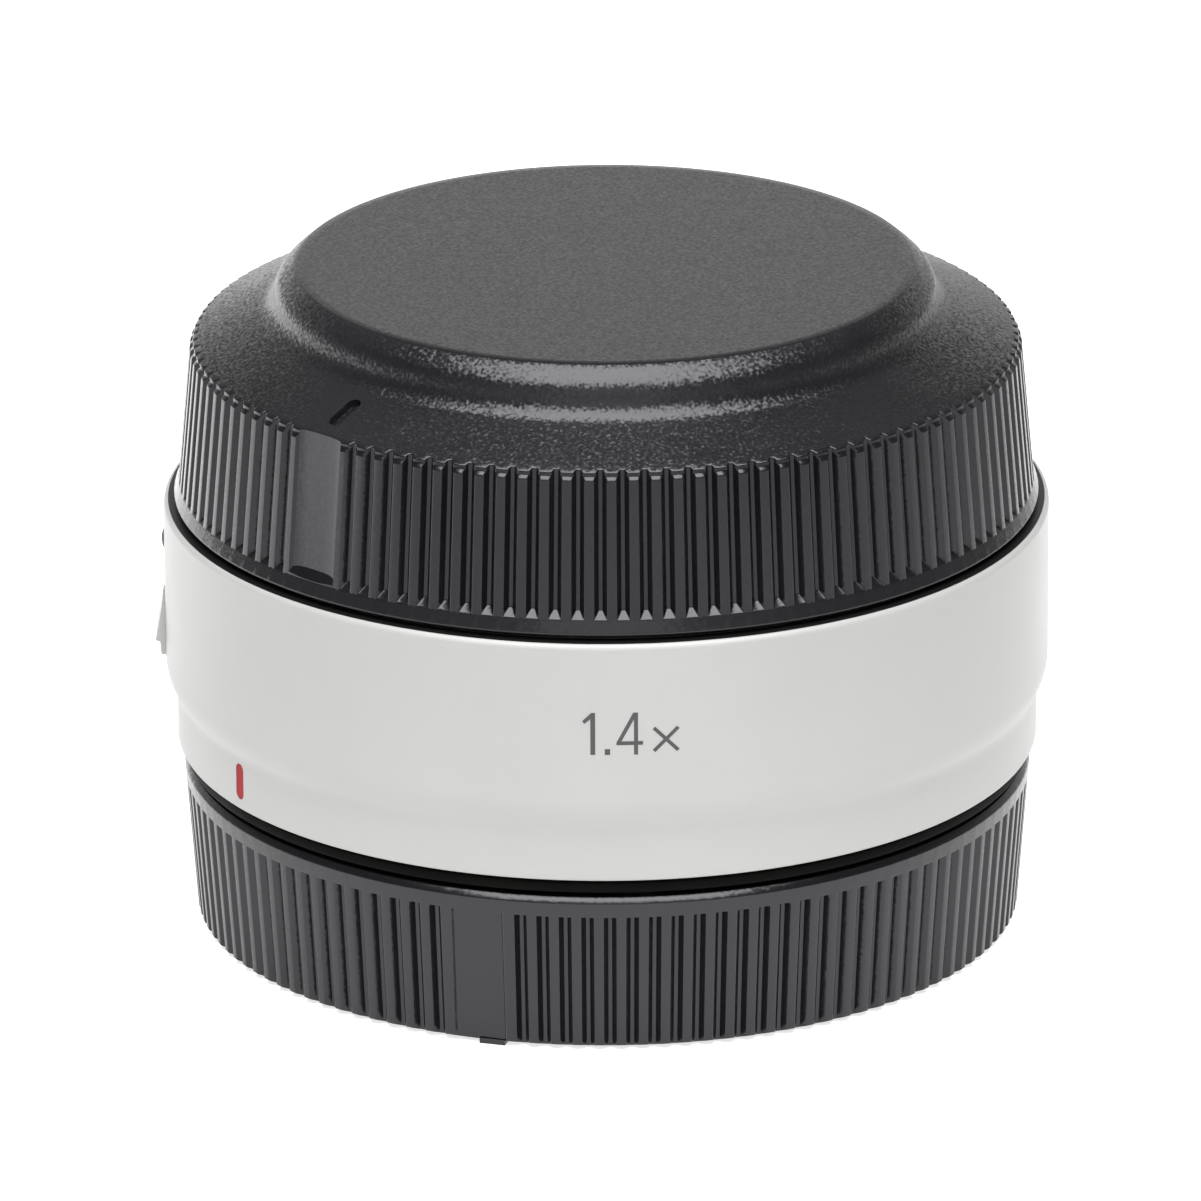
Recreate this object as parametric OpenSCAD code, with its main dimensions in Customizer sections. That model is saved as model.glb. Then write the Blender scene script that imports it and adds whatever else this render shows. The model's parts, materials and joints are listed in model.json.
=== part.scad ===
// Camera teleconverter with its rear cap and its domed front cap.
// A white barrel carries a bayonet at each end, seven lens elements, the contacts between
// lens and camera, and a release lever that draws in the lens lock pin.
// Millimetres. +Z runs along the optical axis towards the lens, and the origin is the centre
// of the rear cap's base, on which the whole assembly stands. The release lever is at -X.

/* [Barrel] */
// From the throat of the front bayonet to the outside of the barrel
flange_w = 8.6; // [8.4:0.1:10]
// Wall of the barrel
barrel_wall = 1.6; // [1.4:0.1:1.8]
// How much smaller the plain rear collar is than the barrel, on the radius
collar_step = 0.9; // [0.7:0.05:1]
// Height of the plain rear collar
collar_h = 4.05; // [3.8:0.05:4.4]
// Depth of the shallow neck above the collar
neck_depth = 0.2; // [0.1:0.05:0.3]
// Radius of the rounded lower end of the full-width part
taper_round = 3.9; // [3.4:0.1:4.5]
// Rounding of the barrel's front edge
barrel_edge = 0.5; // [0.3:0.05:0.7]
// Rear flange to front flange
flange_gap = 20.3; // [20.3:0.1:22]
// How far each flange stands out of the barrel's ends
flange_proud = 0.1; // [0.05:0.05:0.2]

/* [Rear cap] */
// Height of the rear cap
rear_cap_h = 13.3; // [13:0.1:15]
// How far the rear cap's mouth lies inside the barrel's radius
rear_inset = 1.4; // [1.2:0.1:1.8]
// How much the rear cap's skirt leans in towards its base
rear_draft = 0.95; // [0.5:0.05:1.2]
// Wall of the rear cap's skirt
rear_wall = 2.3; // [2:0.1:2.6]
// Thickness of the rear cap's floor
rear_floor = 1.8; // [1.4:0.1:2.2]
// Height of the smooth band at the rear cap's mouth
rear_band_h = 1.7; // [1.2:0.1:2.5]
// Rounding of the rear cap's mouth
rear_rim = 0.35; // [0.2:0.05:0.5]
// Height of the chamfer round the base
base_chamfer_h = 0.45; // [0.3:0.05:0.6]
// Width of the chamfer round the base
base_chamfer_w = 1.15; // [0.8:0.05:1.4]

/* [Front cap] */
// Black gap between the barrel and the front cap's foot
front_gap = 0.36; // [0.3:0.02:0.6]
// How far the front cap's foot lies inside the barrel's radius
front_inset = 0.85; // [0.6:0.05:1.2]
// Height of the smooth band at the front cap's foot
front_band_h = 1.29; // [1:0.05:2]
// How much the band is wider than the ribs above it
front_band_flare = 0.4; // [0.2:0.05:0.6]
// Height of the ribs on the front cap
front_rib_h = 11.15; // [10:0.05:12]
// How much the front ribs lean in from foot to shoulder
front_draft = 1.02; // [0.6:0.02:1.3]
// How far the ribs stand out of the shoulder's edge
rib_proud = 0.28; // [0.15:0.01:0.4]
// Height of the shoulder's edge above the rib ends
shoulder_lip = 0.3; // [0.2:0.05:0.5]
// Slope of the shoulder, in degrees
shoulder_slope = 22.8; // [18:0.2:26]
// Radius of the hollow curve between shoulder and dome
cove_r = 3; // [2:0.1:3.4]
// How far the dome's wall lies inside the throat's radius
dome_inset = 1.2; // [0.6:0.1:1.4]
// Height of the dome's upright wall above the hollow curve
dome_edge_h = 0.66; // [0.4:0.02:1.6]
// Width of the bevel round the dome's top
dome_bevel_w = 0.85; // [0.5:0.05:1.2]
// Height of the bevel round the dome's top
dome_bevel_h = 0.4; // [0.3:0.05:0.7]
// Thickness of the front cap's roof and shoulder
front_roof = 1.8; // [1.4:0.1:2.2]
// Wall of the front cap's skirt
front_wall = 2; // [1.6:0.1:2.4]

/* [Grip] */
// Ribs round each cap
rib_count = 120; // [90:2:124]
// Depth of a groove
groove_depth = 0.6; // [0.4:0.05:0.8]
// Width of a groove at its mouth
groove_mouth = 1.04; // [0.8:0.02:1.1]
// Width of a groove's floor
groove_floor = 0.34; // [0.2:0.02:0.5]
// Height of the sloping run-out at the foot of a front groove
groove_runout = 0.8; // [0.4:0.05:1.2]
// Direction of the front cap's thumb flat, in degrees
front_pad_az = 227.2; // [180:0.2:270]
// Direction of the rear cap's thumb flat, in degrees
rear_pad_az = 252.3; // [180:0.1:270]
// Width of the front thumb flat
front_pad_w = 4.9; // [4:0.1:5.2]
// Depth of the front thumb flat's hollow
front_pad_d = 0.5; // [0.3:0.05:0.6]
// Width of the rear thumb flat
rear_pad_w = 4.2; // [4:0.1:4.8]
// Depth of the rear thumb flat
rear_pad_d = 0.3; // [0.2:0.05:0.5]

/* [Bayonets] */
// Radius of the throat of the front bayonet
throat_r = 27; // [26.8:0.1:27.4]
// How far the front bayonet's lugs reach into the throat
lug_reach = 1.4; // [1.2:0.05:1.5]
// Thickness of a bayonet lug
lug_t = 1.4; // [1.2:0.05:1.6]
// Running gap round a male bayonet
bayonet_gap = 0.2; // [0.15:0.05:0.3]
// Half the angle of a male lug
male_lug_half = 26; // [22:0.5:28]
// Half the angle of a female lug
female_lug_half = 27; // [22:0.5:29]
// Direction of the first female lug of the front bayonet, in degrees
front_lug_az = 90; // [0:1:119]
// Direction of the first male lug of the rear bayonet, in degrees
rear_lug_az = 30; // [0:1:119]
// Thickness of the bayonet flanges
flange_t = 1.8; // [1.6:0.1:2.2]
// Wall of the male bayonet tubes
tube_wall = 1.2; // [1:0.05:1.4]
// Depth of the rear bayonet tube below its flange
rear_tube_depth = 6.6; // [6:0.1:7.2]
// Rear flange to the upper face of the rear bayonet's lugs
rear_lug_depth = 3.4; // [3:0.1:3.8]
// Depth of the front cap's bayonet tube below the front flange
cap_tube_depth = 4.8; // [4.4:0.1:5]
// Depth of the lens well below the front flange
well_depth = 8; // [7.8:0.1:8.6]

/* [Lenses] */
// Height of the lens tube above the front flange
tube_reach = 12.3; // [11:0.1:13]
// Width of the ring-shaped room between the throat and the lens tube
socket_w = 8; // [7.6:0.1:9]
// Wall of the lens tube round the front elements
tube_front_wall = 3; // [2.6:0.1:3.6]
// How much smaller the rear elements are than the front ones, on the radius
glass_step = 2.4; // [1.8:0.1:3]
// Wall of the lens tube round the rear elements
tube_rear_wall = 2.8; // [2:0.1:3.2]

/* [Contacts] */
// Number of contacts at each end
contact_count = 12; // [8:1:12]
// Direction of the contacts, in degrees
contact_az = 32.5; // [20:0.5:45]
// Angle between neighbouring contacts
contact_pitch = 4.6; // [4:0.1:4.7]
// How far the spring pins can be pressed in
pin_travel = 0.5; // [0.3:0.05:0.5]

/* [Release] */
// Travel of the release lever
lever_travel = 1.6; // [1.2:0.1:1.6]
// Length of each arm of the rocker
rocker_arm = 4; // [3.8:0.1:4.2]
// Height of the lever's knob
knob_h = 4.3; // [3.8:0.1:4.6]
// Width of the lever's knob
knob_w = 4.6; // [4:0.1:5]
// How far the knob stands out of the barrel
knob_proud = 0.75; // [0.5:0.05:1]
// Radius of the lock pin
lock_pin_r = 1.1; // [0.9:0.05:1.15]
// How far the lock pin stands out of the front flange
lock_pin_proud = 1.3; // [1:0.1:1.5]

/* [Hidden] */
$fn = 180;
fit = 0.3;
slip = 0.05;
seat = 0.02;
eps = 0.5;

// Heights along the axis
seal_show = 1.6;
barrel_z0 = rear_cap_h + seal_show;
barrel_h = flange_gap - 2 * flange_proud;
barrel_z1 = barrel_z0 + barrel_h;
rear_flange_z = barrel_z0 - flange_proud;
front_flange_z = rear_flange_z + flange_gap;
chassis_z0 = rear_flange_z + flange_t;
front_seat_z = front_flange_z - flange_t;
well_z = front_flange_z - well_depth;
well_floor_t = 1.3;
well_under_z = well_z - well_floor_t;
front_foot_z = barrel_z1 + front_gap;
front_rib_z0 = front_foot_z + front_band_h;
front_rib_z1 = front_rib_z0 + front_rib_h;
shoulder_z = front_rib_z1 + rib_proud + shoulder_lip;
cove_x = throat_r - dome_inset + cove_r;
rear_rib_z1 = rear_cap_h - rear_band_h;

// Radii
barrel_r = throat_r + flange_w;
dome_r = throat_r - dome_inset;
bore_r = barrel_r - barrel_wall;
rim_r = bore_r - fit;
chassis_r = rim_r - 1;
collar_r = barrel_r - collar_step;
collar_bore_r = chassis_r + 0.5;
mount_r = chassis_r - 0.1;
well_r = throat_r + 0.6;
female_r = throat_r - lug_reach;
male_r = female_r - bayonet_gap;
male_lug_r = throat_r - bayonet_gap;
male_in_r = male_r - tube_wall;
front_foot_r = barrel_r - front_inset;
front_rib_r0 = front_foot_r - front_band_flare;
front_rib_r1 = front_rib_r0 - front_draft;
shoulder_r = front_rib_r1 - rib_proud;
rear_mouth_r = barrel_r - rear_inset;
rear_foot_r = rear_mouth_r - rear_draft;
seal_r = barrel_r - 1.15;
locate_z1 = front_seat_z - 2.3;
locate_h = 1.4;

// Centre of the hollow curve between shoulder and dome, and the top of the dome
cove_z = shoulder_z + (cove_r + sin(shoulder_slope) * (shoulder_r - cove_x)) / cos(shoulder_slope);
top_z = cove_z + dome_edge_h + dome_bevel_h;

// Grip grooves
rib_pitch = 360 / rib_count;
pad_skip = 2;
groove_over = 0.4;

// Screws
screw_head_r = 1.75;
screw_shank_r = 0.9;
screw_head_h = 0.9;
screw_l = 5.6;
screw_az = [45, 135, 225, 315];
front_screw_r = throat_r + 3;
rear_screw_r = throat_r + 2.4;
small_head_r = 0.9;
small_head_h = 0.5;
small_shank_r = 0.45;
small_grip = 0.9;
rear_grip = 0.7;
plate_screw_l = 3;
hole_over = 0.1;

// Release mechanism: x is outward from the axis and y runs along the barrel
lever_az = 180;
pivot_z = front_flange_z - 10.1;
knob_z0 = pivot_z - 3;
rocker_tilt = asin(lever_travel / 2 / rocker_arm);
arm_end_r = 0.6;
arm_w = 0.7;
fork_gap = 0.06;
fork_prong = 0.7;
fork_h = 2 * (arm_end_r + fork_gap + fork_prong);
fork_half_w = 1;
plate_x = chassis_r - 0.75;
plate_t = 0.8;
plate_hw = 6.6;
plate_z0 = knob_z0 - 0.3;
plate_z1 = pivot_z + 5;
tab_z0 = plate_z0 - 2.5;
tab_y0 = -2;
tab_y1 = 3.4;
slide_x = plate_x + plate_t + 0.1;
slide_t = 0.6;
slide_z0 = knob_z0 - 0.3;
slide_z1 = pivot_z + 3.3;
slide_y0 = -3.4;
slide_y1 = rocker_arm + 0.95;
slot_side = 0.2;
rocker_x = plate_x - 1.15;
rocker_t = 0.9;
pivot_r = 0.7;
pivot_head_r = 1.2;
pivot_head_t = 0.4;
lock_pin_x = plate_x - 2.35;
pocket_x = lock_pin_x - lock_pin_r - fit;
pocket_hw = rocker_arm + fork_half_w + 0.4;
pocket_half_h = fork_h / 2 + lever_travel / 2 + 0.35;
spring_z0 = chassis_z0 + 1;
spring_r = 0.9;
spring_wire_r = 0.16;
spring_turns = 8;
foot_z = pivot_z + lever_travel / 2;
tongue_z = pivot_z - lever_travel / 2;
plate_screws = [[0, plate_z1 - 1], [0.8, tab_z0 + 1.2]];

// Index marks
index_az = 212.55;
index_w = 1.1;
index_h = 3;
index_z = barrel_z0 + collar_h - index_h / 2 - 0.15;
index_depth = 0.3;
index_sunk = 0.05;
dot_r = 0.9;
dot_z = barrel_z1 - 3.8;
dot_depth = 0.8;
dot_proud = 0.22;

// Depth of the rear baffle below the rear flange, and its thickness
baffle_depth = 6.2;
baffle_t = 1.2;

// Lens stack
tube_top_z = front_flange_z + tube_reach;
tube_front_r = throat_r - socket_w;
front_glass_r = tube_front_r - tube_front_wall;
rear_glass_r = front_glass_r - glass_step;
tube_rear_r = rear_glass_r + tube_rear_wall;
tube_flange_w = 3.4;
tube_flange_r = tube_front_r + tube_flange_w;
tube_flange_t = 1.2;
spigot_r = tube_front_r + 0.2;
web_z0 = well_z + 0.9;
web_t = 1.4;
front_ring_h = 1.2;
rear_ring_h = 1.2;
thread_step = 0.6;
glass_rim = 1.2;
web_r = rear_glass_r - glass_rim;
ring_wall = 1.1;
cement = 0.02;
// Surface radii of each element, lower then upper: positive bulges out, negative is hollow
lens_1_faces = [-70, 120];
lens_2_faces = [60, -45];
lens_3_faces = [-90, -60];
lens_4_faces = [30, -70];
lens_5_faces = [45, -30];
lens_6_faces = [50, -35];
lens_7_faces = [60, -50];
lens_1_h = 2.8;
lens_2_h = 4.8;
lens_3_h = 5;
lens_4_h = 3.4;
lens_5_h = 3.2;
lens_6_h = 3;
lens_7_h = 3.6;
front_ring_z = tube_top_z - 0.4 - front_ring_h;
lens_1_z = front_ring_z - lens_1_h;
lens_3_z = web_z0 + web_t;
lens_2_z = lens_3_z + lens_3_h;
front_spacer_z = lens_2_z + lens_2_h;
lens_4_z = web_z0 - lens_4_h;
lens_5_z = lens_4_z - lens_5_h;
tube_bottom_z = rear_flange_z - baffle_depth + baffle_t + 0.8;
rear_ring_z = tube_bottom_z + 0.6;
lens_7_z = rear_ring_z + rear_ring_h;
lens_6_z = lens_7_z + lens_7_h;
rear_spacer_z = lens_6_z + lens_6_h;
tube_screw_r = tube_front_r + 1.8;
tube_screw_az = [100, 220, 340];

// Front contacts
front_block_r0 = tube_flange_r + 0.5;
front_block_r1 = well_r - 0.7;
contact_half = (contact_count - 1) / 2 * contact_pitch;
contact_screw_half = contact_half + 3.3;
front_block_half = contact_screw_half + 2.4;
front_pin_r = (front_block_r0 + front_block_r1) / 2;
front_pin_shank = 0.45;
front_pin_collar = 0.68;
front_pin_top = front_flange_z - cap_tube_depth - fit;
front_pin_show = 0.6;
front_block_h = front_pin_top - front_pin_show - well_z;
collar_z = well_z + pin_travel + 0.3;
collar_t = 0.45;
counterbore_r = 0.75;
counterbore_h = collar_z + collar_t + slip - well_z;
// Rear baffle and rear contacts
baffle_z = rear_flange_z - baffle_depth;
baffle_r = male_in_r - bayonet_gap;
baffle_wall = 1.2;
baffle_flange_r = well_r - fit;
baffle_flange_t = 1;
lip_t = 1;
lip_reach = 1;
window_x = 18;
window_y = 26;
window_round = 2;
rear_block_r1 = baffle_r - baffle_wall - fit;
rear_block_r0 = rear_block_r1 - 4.2;
rear_block_h = 2.4;
rear_land_r0 = rear_block_r0 + 0.7;
rear_land_r1 = rear_block_r1 - 0.6;
rear_land_half = contact_half + 2.7;
rear_screw_half = contact_half + 4.9;
rear_block_half = contact_half + 7.3;
rear_land_z = baffle_z - 0.1;
pad_r = (rear_land_r0 + rear_land_r1) / 2;
pad_w = 1.1;
pad_l = 2.2;
pad_sunk = 0.15;
pad_proud = 0.15;

// Circuit board
board_t = 1;
board_r0 = spigot_r + 1.1;
board_r1 = well_r - 0.6;
board_a0 = 60;
board_a1 = 300;
board_z = well_under_z - board_t;
board_screw_r = board_r1 - 1.1;
board_screw_az = [75, 180, 285];
chip_t = 1.4;
chips = [[95, 5, 4], [122, 3.5, 5], [150, 5, 5], [205, 6, 4.4], [245, 3.6, 3.6]];
flex_t = 0.2;
flex_half = 9;

// Front cap's inside
cap_tube_z = front_flange_z - cap_tube_depth;
cap_in_r = male_in_r - 0.3;
cap_stop_r = throat_r + 1.3;
cap_stop_t = 1.4;
dome_wall_r = male_r + 0.5;
ceiling_z = top_z - front_roof;
ceiling_chamfer = 1;
cap_lug_z = front_flange_z - 2 * lug_t - 0.7;

// Rear cap's inside
rear_ring_r0 = throat_r + 0.3;
rear_ring_r1 = rear_ring_r0 + 1.5;
rear_base_r = rear_foot_r - base_chamfer_w;
cap_female_r = male_r + 0.35;

// Colours
black_plastic = [0.15, 0.15, 0.16];
white_paint = [0.87, 0.87, 0.86];
black_metal = [0.1, 0.1, 0.11];
steel = [0.74, 0.74, 0.75];
gold = [0.83, 0.66, 0.3];
rubber = [0.07, 0.07, 0.07];
glass = [0.75, 0.85, 0.9, 0.4];
red_paint = [0.78, 0.12, 0.17];
board_green = [0.07, 0.3, 0.18];
flex_amber = [0.75, 0.45, 0.12];

// Points along an arc in a profile
function arc(c, r, a0, a1, n) = [
  for (i = [0:n])
    let (a = a0 + (a1 - a0) * i / n)
      c + r * [cos(a), sin(a)]
];

// Part of a square-sectioned ring between two angles
module ring_sector(r0, r1, z0, z1, a0, a1) {
  rotate([0, 0, a0])
    rotate_extrude(angle = a1 - a0)
      translate([r0, z0])
        square([r1 - r0, z1 - z0]);
}

module tube(r0, r1, z0, z1) {
  rotate_extrude()
    translate([r0, z0])
      square([r1 - r0, z1 - z0]);
}

module rod(r, z0, z1) {
  translate([0, 0, z0])
    cylinder(r = r, h = z1 - z0);
}

// Three lugs of a bayonet
module lugs(r0, r1, z0, z1, first_az, half) {
  for (i = [0:2])
    ring_sector(r0, r1, z0, z1, first_az + 120 * i - half, first_az + 120 * i + half);
}

// A grip groove in a skirt whose surface runs from (r_lo, z_lo) to (r_hi, z_hi).
// The run-outs are the heights over which its two ends slope out to the surface.
module groove(r_lo, z_lo, r_hi, z_hi, runout_lo, runout_hi) {
  lean = (r_hi - r_lo) / (z_hi - z_lo);
  half_out = groove_mouth / 2 + (groove_mouth - groove_floor) / 2 * groove_over / groove_depth;
  half_in = groove_floor / 2;
  z_in = [z_lo + runout_lo, z_hi - runout_hi];
  z_out = [z_lo - runout_lo * groove_over / groove_depth, z_hi + runout_hi * groove_over / groove_depth];
  r_in = [for (z = z_in) r_lo + lean * (z - z_lo) - groove_depth];
  r_out = [for (z = z_out) r_lo + lean * (z - z_lo) + groove_over];
  polyhedron(
    points = [
      [r_in[0], -half_in, z_in[0]], [r_in[0], half_in, z_in[0]],
      [r_out[0], half_out, z_out[0]], [r_out[0], -half_out, z_out[0]],
      [r_in[1], -half_in, z_in[1]], [r_in[1], half_in, z_in[1]],
      [r_out[1], half_out, z_out[1]], [r_out[1], -half_out, z_out[1]]
    ],
    faces = [[3, 2, 1, 0], [4, 5, 6, 7], [0, 1, 5, 4], [2, 3, 7, 6], [1, 2, 6, 5], [3, 0, 4, 7]]
  );
}

module grooves_beside_pad(pad_az) {
  for (i = [pad_skip:rib_count - pad_skip])
    rotate([0, 0, pad_az + i * rib_pitch])
      children();
}

// A countersunk screw whose flat head lies at z = 0 and whose shank points down
module flat_screw(head_r, head_h, shank_r, length) {
  difference() {
    union() {
      translate([0, 0, -head_h])
        cylinder(r1 = shank_r, r2 = head_r, h = head_h);
      rod(shank_r, -length, -head_h);
    }
    cross_slot(head_r);
  }
}

// The room for a countersunk screw, open above it
module flat_screw_hole(head_r, head_h, shank_r, length) {
  translate([0, 0, -head_h])
    cylinder(r1 = shank_r + seat, r2 = head_r + seat, h = head_h);
  rod(head_r + seat, 0, eps);
  rod(shank_r + seat, -length - seat, -head_h);
}

// A cheese-head screw whose seat lies at z = 0
module pan_screw(head_r, head_h, shank_r, length) {
  difference() {
    union() {
      rod(head_r, 0, head_h);
      rod(shank_r, -length, 0);
    }
    translate([0, 0, head_h])
      cross_slot(head_r);
  }
}

module cross_slot(head_r) {
  slot_w = head_r * 0.3;
  slot_l = head_r * 1.1;
  slot_d = head_r * 0.25;
  for (a = [0, 90])
    rotate([0, 0, a])
      translate([-slot_l / 2, -slot_w / 2, -slot_d])
        cube([slot_l, slot_w, slot_d + eps]);
}

module at_each(az_list, radius, z) {
  for (a = az_list)
    rotate([0, 0, a])
      translate([radius, 0, z])
        children();
}

module at_contacts(radius, z) {
  for (i = [0:contact_count - 1])
    rotate([0, 0, contact_az - contact_half + i * contact_pitch])
      translate([radius, 0, z])
        children();
}

module at_lever() {
  rotate([0, 0, lever_az])
    children();
}

// Rear cap: ribbed cup with an inner ring that carries its three bayonet lugs
module rear_cap() {
  lug_top = rear_flange_z - 0.8;
  lug_bottom = rear_flange_z - rear_lug_depth + 0.3;
  profile = concat(
    [[0, 0], [rear_base_r, 0], [rear_foot_r, base_chamfer_h]],
    arc([rear_mouth_r - rear_rim, rear_cap_h - rear_rim], rear_rim, 0, 90, 6),
    [
      [rear_mouth_r - rear_wall, rear_cap_h], [rear_foot_r - rear_wall, rear_floor],
      [rear_ring_r1, rear_floor], [rear_ring_r1, rear_flange_z - seat],
      [rear_ring_r0, rear_flange_z - seat], [rear_ring_r0, rear_floor], [0, rear_floor]
    ]
  );
  nib_w = 2.1;
  nib_az = rear_pad_az + 1.6;
  lean = atan(rear_draft / (rear_cap_h - rear_rim - base_chamfer_h));
  pad_under = 1;
  pad_reach = 2;
  color(black_plastic) {
    difference() {
      union() {
        rotate_extrude()
          polygon(profile);
        lugs(cap_female_r, rear_ring_r0 + eps, lug_bottom, lug_top, rear_lug_az + 60, female_lug_half);
      }
      grooves_beside_pad(rear_pad_az)
        groove(rear_foot_r - rear_draft * 0.1, -1, rear_foot_r + rear_draft * rear_rib_z1 / rear_cap_h,
          rear_rib_z1, 0, 0.2);
      rotate([0, 0, rear_pad_az])
        translate([rear_foot_r, 0, base_chamfer_h])
          rotate([0, lean, 0])
            translate([-rear_pad_d, -rear_pad_w / 2, -pad_under])
              cube([pad_reach, rear_pad_w, rear_rib_z1 - base_chamfer_h + pad_under]);
    }
    rotate([0, 0, nib_az])
      translate([rear_base_r - eps, -nib_w / 2, 0])
        cube([base_chamfer_w + eps - 0.15, nib_w, base_chamfer_h]);
  }
}

// Rubber lip that closes the joint between the barrel and the camera
module rear_seal_ring() {
  root_r = mount_r + 0.4;
  lip_z = rear_cap_h + 0.36;
  color(rubber)
    rotate_extrude()
      polygon([
        [root_r, barrel_z0], [seal_r - 0.55, barrel_z0], [seal_r - 0.55, barrel_z0 - 0.28],
        [seal_r - 0.2, barrel_z0 - 0.36], [seal_r, lip_z + 0.3], [seal_r - 0.2, lip_z],
        [root_r + 0.4, lip_z], [root_r, lip_z + 0.35]
      ]);
}

// White outer barrel with its rear collar, the lever's slot and the seats of the two index marks
module barrel_shell() {
  neck_r = collar_r - neck_depth;
  taper_c = [barrel_r - taper_round, 0];
  taper_a = acos((neck_r + 0.05 - taper_c[0]) / taper_round);
  neck_z = barrel_z0 + collar_h + 0.3;
  taper_z = neck_z + taper_round * sin(taper_a);
  wide_z = taper_z - 0.6;
  notch_half = asin((plate_hw + 0.5) / chassis_r);
  foot_edge = 0.25;
  outer = concat(
    [[collar_bore_r, barrel_z0], [collar_r - foot_edge, barrel_z0], [collar_r, barrel_z0 + foot_edge]],
    [[collar_r, neck_z - 0.45], [neck_r, neck_z - 0.15]],
    arc([taper_c[0], taper_z], taper_round, -taper_a, 0, 10),
    arc([barrel_r - barrel_edge, barrel_z1 - barrel_edge], barrel_edge, 0, 90, 6)
  );
  inner = [
    [bore_r, barrel_z1], [bore_r, locate_z1], [chassis_r + fit, locate_z1],
    [chassis_r + fit, locate_z1 - locate_h], [bore_r, locate_z1 - locate_h],
    [bore_r, wide_z], [collar_bore_r, wide_z - 1]
  ];
  color(white_paint)
    difference() {
      rotate_extrude()
        polygon(concat(outer, inner));
      at_lever() {
        translate([bore_r - 0.4, -knob_w / 2 - slot_side, knob_z0 - slot_side])
          cube([barrel_wall + eps + 1, knob_w + 2 * slot_side, knob_h + lever_travel + 2 * slot_side]);
        ring_sector(chassis_r, bore_r + 0.1, locate_z1 - locate_h - eps, locate_z1 + eps,
          -notch_half, notch_half);
        translate([barrel_r - dot_depth, 0, dot_z])
          rotate([0, 90, 0])
            cylinder(r = dot_r + seat, h = dot_depth + eps);
      }
      rotate([0, 0, index_az])
        translate([collar_r - index_depth, 0, index_z])
          index_bar(seat, index_depth + eps);
    }
}

// Round-ended upright bar that points outwards
module index_bar(grow, depth) {
  w = index_w + 2 * grow;
  straight = index_h - index_w;
  rotate([90, 0, 90])
    linear_extrude(depth) {
      square([w, straight], center = true);
      for (s = [-1, 1])
        translate([0, s * straight / 2])
          circle(d = w);
    }
}

// Red filling of the mark that is lined up with the camera's own, a little below the collar's surface
module index_mark() {
  color(red_paint)
    intersection() {
      rotate([0, 0, index_az])
        translate([collar_r - index_depth + seat, 0, index_z])
          index_bar(0, index_depth + eps);
      rod(collar_r - index_sunk, barrel_z0, barrel_z1, $fn = 720);
    }
}

// Small raised dot above the release lever, which marks where a lens goes on
module lens_index_dot() {
  dome_rad = (dot_r * dot_r + dot_proud * dot_proud) / (2 * dot_proud);
  color(black_plastic)
    at_lever()
      translate([barrel_r, 0, dot_z])
        rotate([0, 90, 0])
          intersection() {
            translate([0, 0, seat - dot_depth])
              cylinder(r = dot_r, h = dot_depth + eps);
            translate([0, 0, dot_proud - dome_rad])
              sphere(r = dome_rad);
          }
}

// Inner frame between the two flanges: it carries the lens tube, the contacts and the lock
module chassis() {
  lip_z = chassis_z0 + baffle_flange_t + 0.1;
  rim_z1 = barrel_z1 - 0.4;
  profile = [
    [well_r, chassis_z0], [chassis_r, chassis_z0], [chassis_r, locate_z1], [rim_r, locate_z1],
    [rim_r, rim_z1], [mount_r + 0.1, rim_z1], [mount_r + 0.1, front_seat_z], [well_r, front_seat_z],
    [well_r, well_z], [spigot_r + slip, well_z], [spigot_r + slip, well_under_z],
    [well_r, well_under_z], [well_r, lip_z + lip_t], [well_r - lip_reach, lip_z + lip_t],
    [well_r - lip_reach, lip_z], [well_r, lip_z]
  ];
  color(black_metal)
    difference() {
      rotate_extrude()
        polygon(profile);
      at_lever() {
        translate([plate_x, -chassis_r, tab_z0 - 0.4])
          cube([eps + 2, 2 * chassis_r, locate_z1 - tab_z0 + 0.4]);
        translate([pocket_x, -pocket_hw, pivot_z - pocket_half_h])
          cube([chassis_r, 2 * pocket_hw, 2 * pocket_half_h]);
        translate([lock_pin_x, -rocker_arm, 0]) {
          rod(lock_pin_r + slip, pivot_z, front_seat_z + eps);
          rod(spring_r + spring_wire_r + 0.2, spring_z0, pivot_z);
        }
        for (s = plate_screws)
          translate([plate_x + plate_t, s[0], s[1]])
            rotate([0, 90, 0])
              rod(small_shank_r + seat, -plate_screw_l - hole_over, 0);
      }
      at_each(screw_az, front_screw_r, front_flange_z)
        rod(screw_shank_r + seat, -screw_l - seat, 0);
      at_each(screw_az, rear_screw_r, rear_flange_z)
        rod(screw_shank_r + seat, 0, screw_l + seat);
      rotate([0, 0, contact_az]) {
        at_each([-contact_screw_half, contact_screw_half], front_pin_r, well_z)
          rod(small_shank_r + seat, -small_grip - hole_over, eps);
        at_each(tube_screw_az, tube_screw_r, well_z)
          rod(small_shank_r + seat, -small_grip - hole_over, eps);
        at_each(board_screw_az, board_screw_r, well_under_z)
          rod(small_shank_r + seat, -eps, small_grip + hole_over);
        ring_sector(front_pin_r - 0.4, front_pin_r + 0.4, well_under_z - eps, well_z + eps,
          -flex_half - 1, flex_half + 1);
      }
    }
}

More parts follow.
